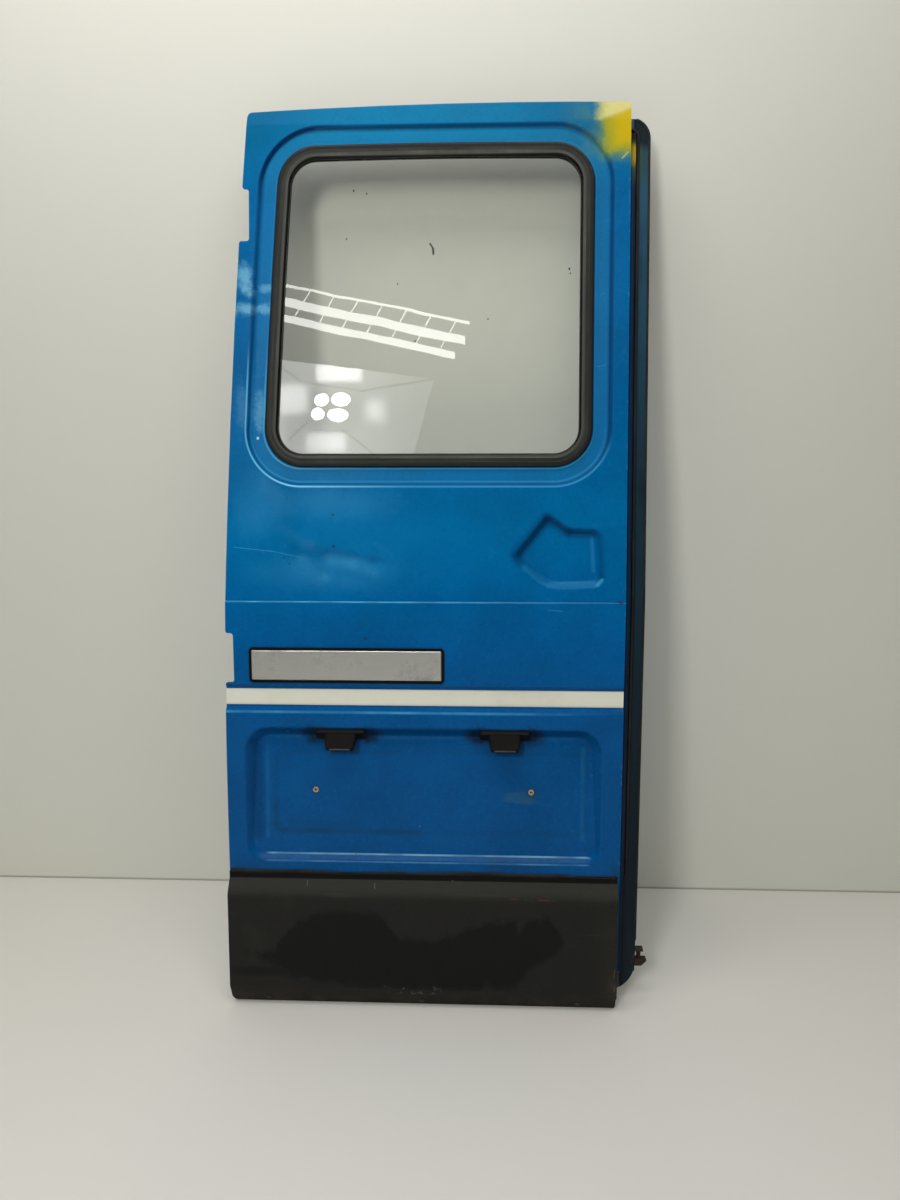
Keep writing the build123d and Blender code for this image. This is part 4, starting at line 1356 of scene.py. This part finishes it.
@dataclass
class PlateFittings:
    """Number-plate lamps and the grommets of the plate's screws."""

    workshop: Workshop
    body: Finish = MouldedPlastic("lamp_body_plastic", Slot.LAMP_PLASTIC)
    lens: Finish = MouldedPlastic(
        "lamp_lens_plastic", Slot.LAMP_LENS, plastic=tone(104, 100, 84), dusty=0.7, rough=0.3
    )
    pale: Finish = MouldedPlastic(
        "pale_grommet", Slot.PALE_PLASTIC, plastic=tone(150, 143, 122), dust=tone(96, 84, 64)
    )

    def dress(self) -> None:
        """Lays plastic on the lamps, their lenses and the grommets."""
        for side in ("hinge_side", "lock_side"):
            self.workshop.lay_nodes(self.body, f"plate_lamp_base_{side}", f"plate_lamp_hood_{side}")
            self.workshop.lay_nodes(self.lens, f"plate_lamp_lens_{side}")
        self.workshop.lay_nodes(self.pale, "plate_grommets")


@dataclass(frozen=True)
class RoomSurface:
    """Plain matt surface of the floor or the wall, with a faint unevenness; the wall is painted darker higher
    up and along its foot.
    """

    name: str
    colour: Colour
    far_colour: Colour
    far_low: float = 0
    far_high: float = 1500
    one_sided: bool = False
    seam_and_corner_shade: float = 0
    seam_and_shade_colour: Colour = tone(120, 114, 104)

    def material(self) -> bpy.types.Material:
        """Makes the surface's material; a one-sided one isn't seen from behind.

        Returns:
            The material.
        """
        made, graph = new_material(self.name)
        coat = Coat(graph, self.colour)
        # Painted shade: the wall darkens towards the far colour higher up.
        coat.lay(self.far_colour, graph.height.rise(self.far_low, self.far_high))
        coat.lay(self.far_colour, (graph.noise(1.6, 4, 0.5) - 0.4).held() * 0.3)
        # A darker line along the foot of the wall: its joint with the floor and painted shade in the corner.
        if self.seam_and_corner_shade:
            coat.lay(self.seam_and_shade_colour, graph.height.rise(self.seam_and_corner_shade, self.seam_and_corner_shade * 0.3) * 0.6)
        shader = graph.node("ShaderNodeBsdfPrincipled", None, {"Base Color": coat.colour, "Roughness": 0.7})
        if self.one_sided:
            behind = graph.node("ShaderNodeNewGeometry", output="Backfacing")
            clear = graph.node("ShaderNodeBsdfTransparent")
            shader = graph.node("ShaderNodeMixShader", None, {0: behind, 1: shader, 2: clear})
        graph.close(shader)
        return made


@dataclass(frozen=True)
class Lamp:
    """Soft rectangular lamp, which reflections don't show; its spread is the angle of its beam in degrees."""

    name: str
    place: tuple[float, float, float]
    target: tuple[float, float, float]
    size: tuple[float, float]
    power: float
    spread: float = 180

    def hang(self) -> None:
        """Hangs the lamp in the scene, pointed at its target."""
        data = bpy.data.lights.new(self.name, "AREA")
        data.shape = "RECTANGLE"
        data.size, data.size_y = self.size
        data.energy = self.power
        data.spread = math.radians(self.spread)
        made = put(self.name, data)
        made.location = self.place
        made.rotation_mode = "QUATERNION"
        made.rotation_quaternion = (Vector(self.target) - Vector(self.place)).to_track_quat("-Z", "Y")
        made.visible_glossy = False


@dataclass(frozen=True)
class MirroredLights:
    """Lights of the room that only gloss and glass show: rows of tubes, tubes overhead and a lit softbox."""

    facing_depth: float = 4000
    tube_glow: float = 6.5
    tube_rows: tuple = (
        ((-1159, 2977), (339, 2656), 9), ((-1157, 2868), (309, 2548), 28), ((-1156, 2768), (247, 2453), 24),
    )
    rungs: int = 10
    rung_start: float = -1131
    rung_pitch: float = 153.6
    rung_slant: float = 108
    rung_half: float = 4
    overhead_glow: float = 14
    overhead_rows: tuple = (-0.3, -0.55, -0.8)
    overhead_ends: tuple = (-1.3, 1.8)
    overhead_wide: float = 0.07
    overhead_height: float = 2.4
    softbox: tuple = ((-1100, 2478), (120, 2312), (-26, 1791), (-1100, 1700))
    behind_bulbs: float = 30
    linings: tuple = (
        (-486, 2354, 143, 52, 26, 5.5), (-257, 2112, 56, 62, 50, 3.2),
        (-560, 1915, 125, 56, 40, 4), (-775, 2185, 84, 88, 44, 4.2),
    )
    seams: tuple = (
        ((-330, 2240), (110, 2312), 12), ((-470, 2010), (-250, 1830), 12), ((-680, 2040), (-800, 1930), 12),
        ((-690, 2260), (-860, 2400), 12), ((-700, 2290), (-330, 2240), 9), ((-660, 1990), (-400, 1990), 9),
    )
    bulb_glow: float = 18
    bulbs: tuple = ((-588, 2172, 50, 40), (-612, 2082, 44, 40), (-462, 2172, 60, 41), (-480, 2078, 66, 41))
    bulb_sides: int = 45
    white: Colour = (1, 1, 0.96, 1)

    def far_point(self, across: float, height: float, behind: float = 0) -> Vector:
        """Point of the room that faces the door, in the door's millimetres."""
        return DOOR.point(across, -self.facing_depth - behind, height)

    def row_height(self, row: int, across: float) -> float:
        """Height of a row of tubes at one place."""
        (left, high), (right, low), _ = self.tube_rows[row]
        return high + (low - high) * (across - left) / (right - left)

    def tubes(self) -> list[list[Vector]]:
        """Rows of ceiling tubes and the rungs across them.

        Returns:
            Their outlines.
        """
        outlines = []
        for start, stop, half in self.tube_rows:
            ends = ((start, -half), (start, half), (stop, half), (stop, -half))
            outlines.append([self.far_point(end[0], end[1] + shift) for end, shift in ends])
        half, last = self.rung_half, len(self.tube_rows) - 1
        for index in range(self.rungs):
            high = self.rung_start + self.rung_pitch * index
            low = high - self.rung_slant
            top, foot = self.row_height(0, high), self.row_height(last, low)
            corners = ((high - half, top), (low - half, foot), (low + half, foot), (high + half, top))
            outlines.append([self.far_point(*corner) for corner in corners])
        return outlines

    def overhead_tubes(self) -> list[list[Vector]]:
        """Tubes above the door.

        Returns:
            Their outlines.
        """
        left, right = self.overhead_ends
        outlines = []
        for near in self.overhead_rows:
            far = near - self.overhead_wide
            corners = ((left, near), (right, near), (right, far), (left, far))
            outlines.append([Vector((across, depth, self.overhead_height)) for across, depth in corners])
        return outlines

    def bulb_rims(self) -> list[list[Vector]]:
        """Bulbs in the softbox.

        Returns:
            Their outlines.
        """
        turns = [math.tau * step / self.bulb_sides for step in range(self.bulb_sides)]
        return [
            [self.far_point(across + wide * math.cos(turn), height + tall * math.sin(turn)) for turn in turns]
            for across, height, wide, tall in self.bulbs
        ]

    def lining(self, graph: Graph) -> Signal:
        """Brightness of the softbox lining: four bright sides, darker seams and a darker middle.

        Args:
            graph: Nodes of its material.

        Returns:
            The brightness.
        """
        glow = 2.7 - graph.across.rise(-560, 90) * 1.7
        glow = glow - graph.patch(-525, 2125, 230, 140, 1) * 0.6
        for across, height, wide, tall, soft, share in self.linings:
            glow = glow + graph.block(across, height, wide, tall, soft) * share
        for start, stop, wide in self.seams:
            glow = glow - graph.line(start, stop, wide, 0) * 1.2
        return glow.most(0)

    def show(self, name: str, outlines: list[list[Vector]], strength: float, lined: bool = False) -> None:
        """Puts up a glowing piece of the room that shows in gloss and glass alone.

        Args:
            name: Name of the piece.
            outlines: Outlines of its faces.
            strength: Strength of its glow.
            lined: Whether its brightness varies as the softbox lining's does.
        """
        glow, graph = new_material(f"{name}_glow")
        colour = self.lining(graph) if lined else self.white
        graph.close(graph.node("ShaderNodeEmission", None, {"Color": colour, "Strength": strength}))
        data = flat_mesh(name, outlines)
        data.materials.append(glow)
        made = put(name, data)
        made.visible_camera = False
        made.visible_diffuse = False
        made.visible_shadow = False
        made.visible_transmission = False

    def build(self) -> None:
        """Puts up the tubes and the softbox."""
        self.show("ceiling_tubes", self.tubes(), self.tube_glow)
        self.show("overhead_tubes", self.overhead_tubes(), self.overhead_glow)
        sheet = [self.far_point(*corner, self.behind_bulbs) for corner in self.softbox]
        self.show("softbox_lining", [sheet], 1, lined=True)
        self.show("softbox_bulbs", self.bulb_rims(), self.bulb_glow)


@dataclass(frozen=True)
class Studio:
    """Floor, wall that leans as the door leaned on it, lamps, world light and camera."""

    floor: RoomSurface = RoomSurface("pale_floor", tone(222, 219, 211), tone(214, 211, 203))
    wall: RoomSurface = RoomSurface(
        "pale_wall", tone(214, 214, 203), tone(196, 195, 185), one_sided=True, seam_and_corner_shade=6
    )
    below_door: float = 0.0005
    wall_depth: float = 0.46
    wall_lean: float = 0.2136
    wall_height: float = 3.2
    reach: float = 6
    mirrored: MirroredLights = MirroredLights()
    lamps: tuple[Lamp, ...] = (
        Lamp("key_lamp", (-0.33, -2.6, 1.16), (0.33, 0, 0.2), (0.4, 0.7), 34),
        Lamp("ceiling_softbox", (0.15, -0.8, 1.75), (0.33, 0.1, 0.2), (1.8, 0.6), 21),
        Lamp("strip_light", (0.35, -3.6, 2.1), (0.33, 0.1, 0.2), (1.6, 0.8), 22),
        Lamp("back_softbox", (0.33, 1.9, -0.42), (0.33, 0.1, 0.2), (0.9, 0.3), 6, 64),
    )
    sky: Colour = (0.97, 0.98, 1, 1)
    ambient: float = 0.1
    gloss_low: float = 0.03
    gloss_high: float = 0.45
    surround: float = 0.58
    camera_place: tuple[float, float, float] = (0.4289, -1.5293, 0.2929)
    camera_pitch: float = math.radians(7.2)
    camera_turn: float = math.radians(2.35)
    lens: float = 27
    sensor: float = 36

    def panel(self, name: str, corners: tuple, surface: RoomSurface) -> bpy.types.Object:
        """Flat piece of the room.

        Args:
            name: Name of the piece.
            corners: Its four corners, in order about its seen side.
            surface: Its surface.

        Returns:
            The piece.
        """
        data = flat_mesh(name, [[Vector(corner) for corner in corners]])
        data.materials.append(surface.material())
        made = put(name, data)
        return made

    def room(self) -> None:
        """Builds the pale floor and the wall behind the door, which lets the back lamp's light through."""
        low, far = CAD_BOX[0].z - self.below_door, self.reach
        corners = ((-far, -far, low), (far, -far, low), (far, far, low), (-far, far, low))
        self.panel("studio_floor", corners, self.floor)
        foot, top = self.wall_depth, self.wall_depth - self.wall_lean * self.wall_height
        high = low + self.wall_height
        corners = ((-far, foot, low), (far, foot, low), (far, top, high), (-far, top, high))
        self.panel("studio_wall", corners, self.wall).visible_shadow = False

    def world(self) -> None:
        """Even light from all round, dimmer in low reflections, and a pale surround for the camera."""
        made = bpy.data.worlds.new("pale_room")
        made.use_nodes = True
        graph = Graph(made.node_tree, "ShaderNodeOutputWorld")
        gloss = graph.node("ShaderNodeLightPath", output="Is Glossy Ray")
        camera = graph.node("ShaderNodeLightPath", output="Is Camera Ray")
        climb = graph.parts_of(graph.node("ShaderNodeTexCoord", output="Generated"))[2]
        seen = self.gloss_low + climb.rise(0.12, 0.42) * (self.gloss_high - self.gloss_low)
        strength = self.ambient + gloss * (seen - self.ambient) + camera * (self.surround - self.ambient)
        graph.close(graph.node("ShaderNodeBackground", None, {"Color": self.sky, "Strength": strength}))
        bpy.context.scene.world = made

    def camera(self) -> None:
        """Camera at the photograph's place and angle."""
        data = bpy.data.cameras.new("photo_camera")
        data.lens = self.lens
        data.sensor_width = self.sensor
        data.clip_start = 0.05
        data.clip_end = 60
        made = put("photo_camera", data)
        turn = Matrix.Rotation(self.camera_turn, 4, "Z")
        tilt = Matrix.Rotation(math.radians(90) - self.camera_pitch, 4, "X")
        made.matrix_world = Matrix.Translation(self.camera_place) @ turn @ tilt
        bpy.context.scene.camera = made

    def build(self) -> None:
        """Sets up the room, its light and the camera."""
        self.room()
        self.mirrored.build()
        for lamp in self.lamps:
            lamp.hang()
        self.world()
        self.camera()
        bpy.context.scene.view_settings.view_transform = "Standard"


def main() -> None:
    """Builds and dresses the door's sub-assemblies in order, then the studio."""
    logging.basicConfig(level=logging.INFO, format="%(name)s: %(message)s")
    workshop = Workshop()
    for group in (OuterSkin, InnerFrame, ClosingEdge, FixedWindow, LowerCladding, Nameplate, PlateFittings):
        group(workshop).dress()
    Studio().build()


if __name__ == "__main__":
    main()
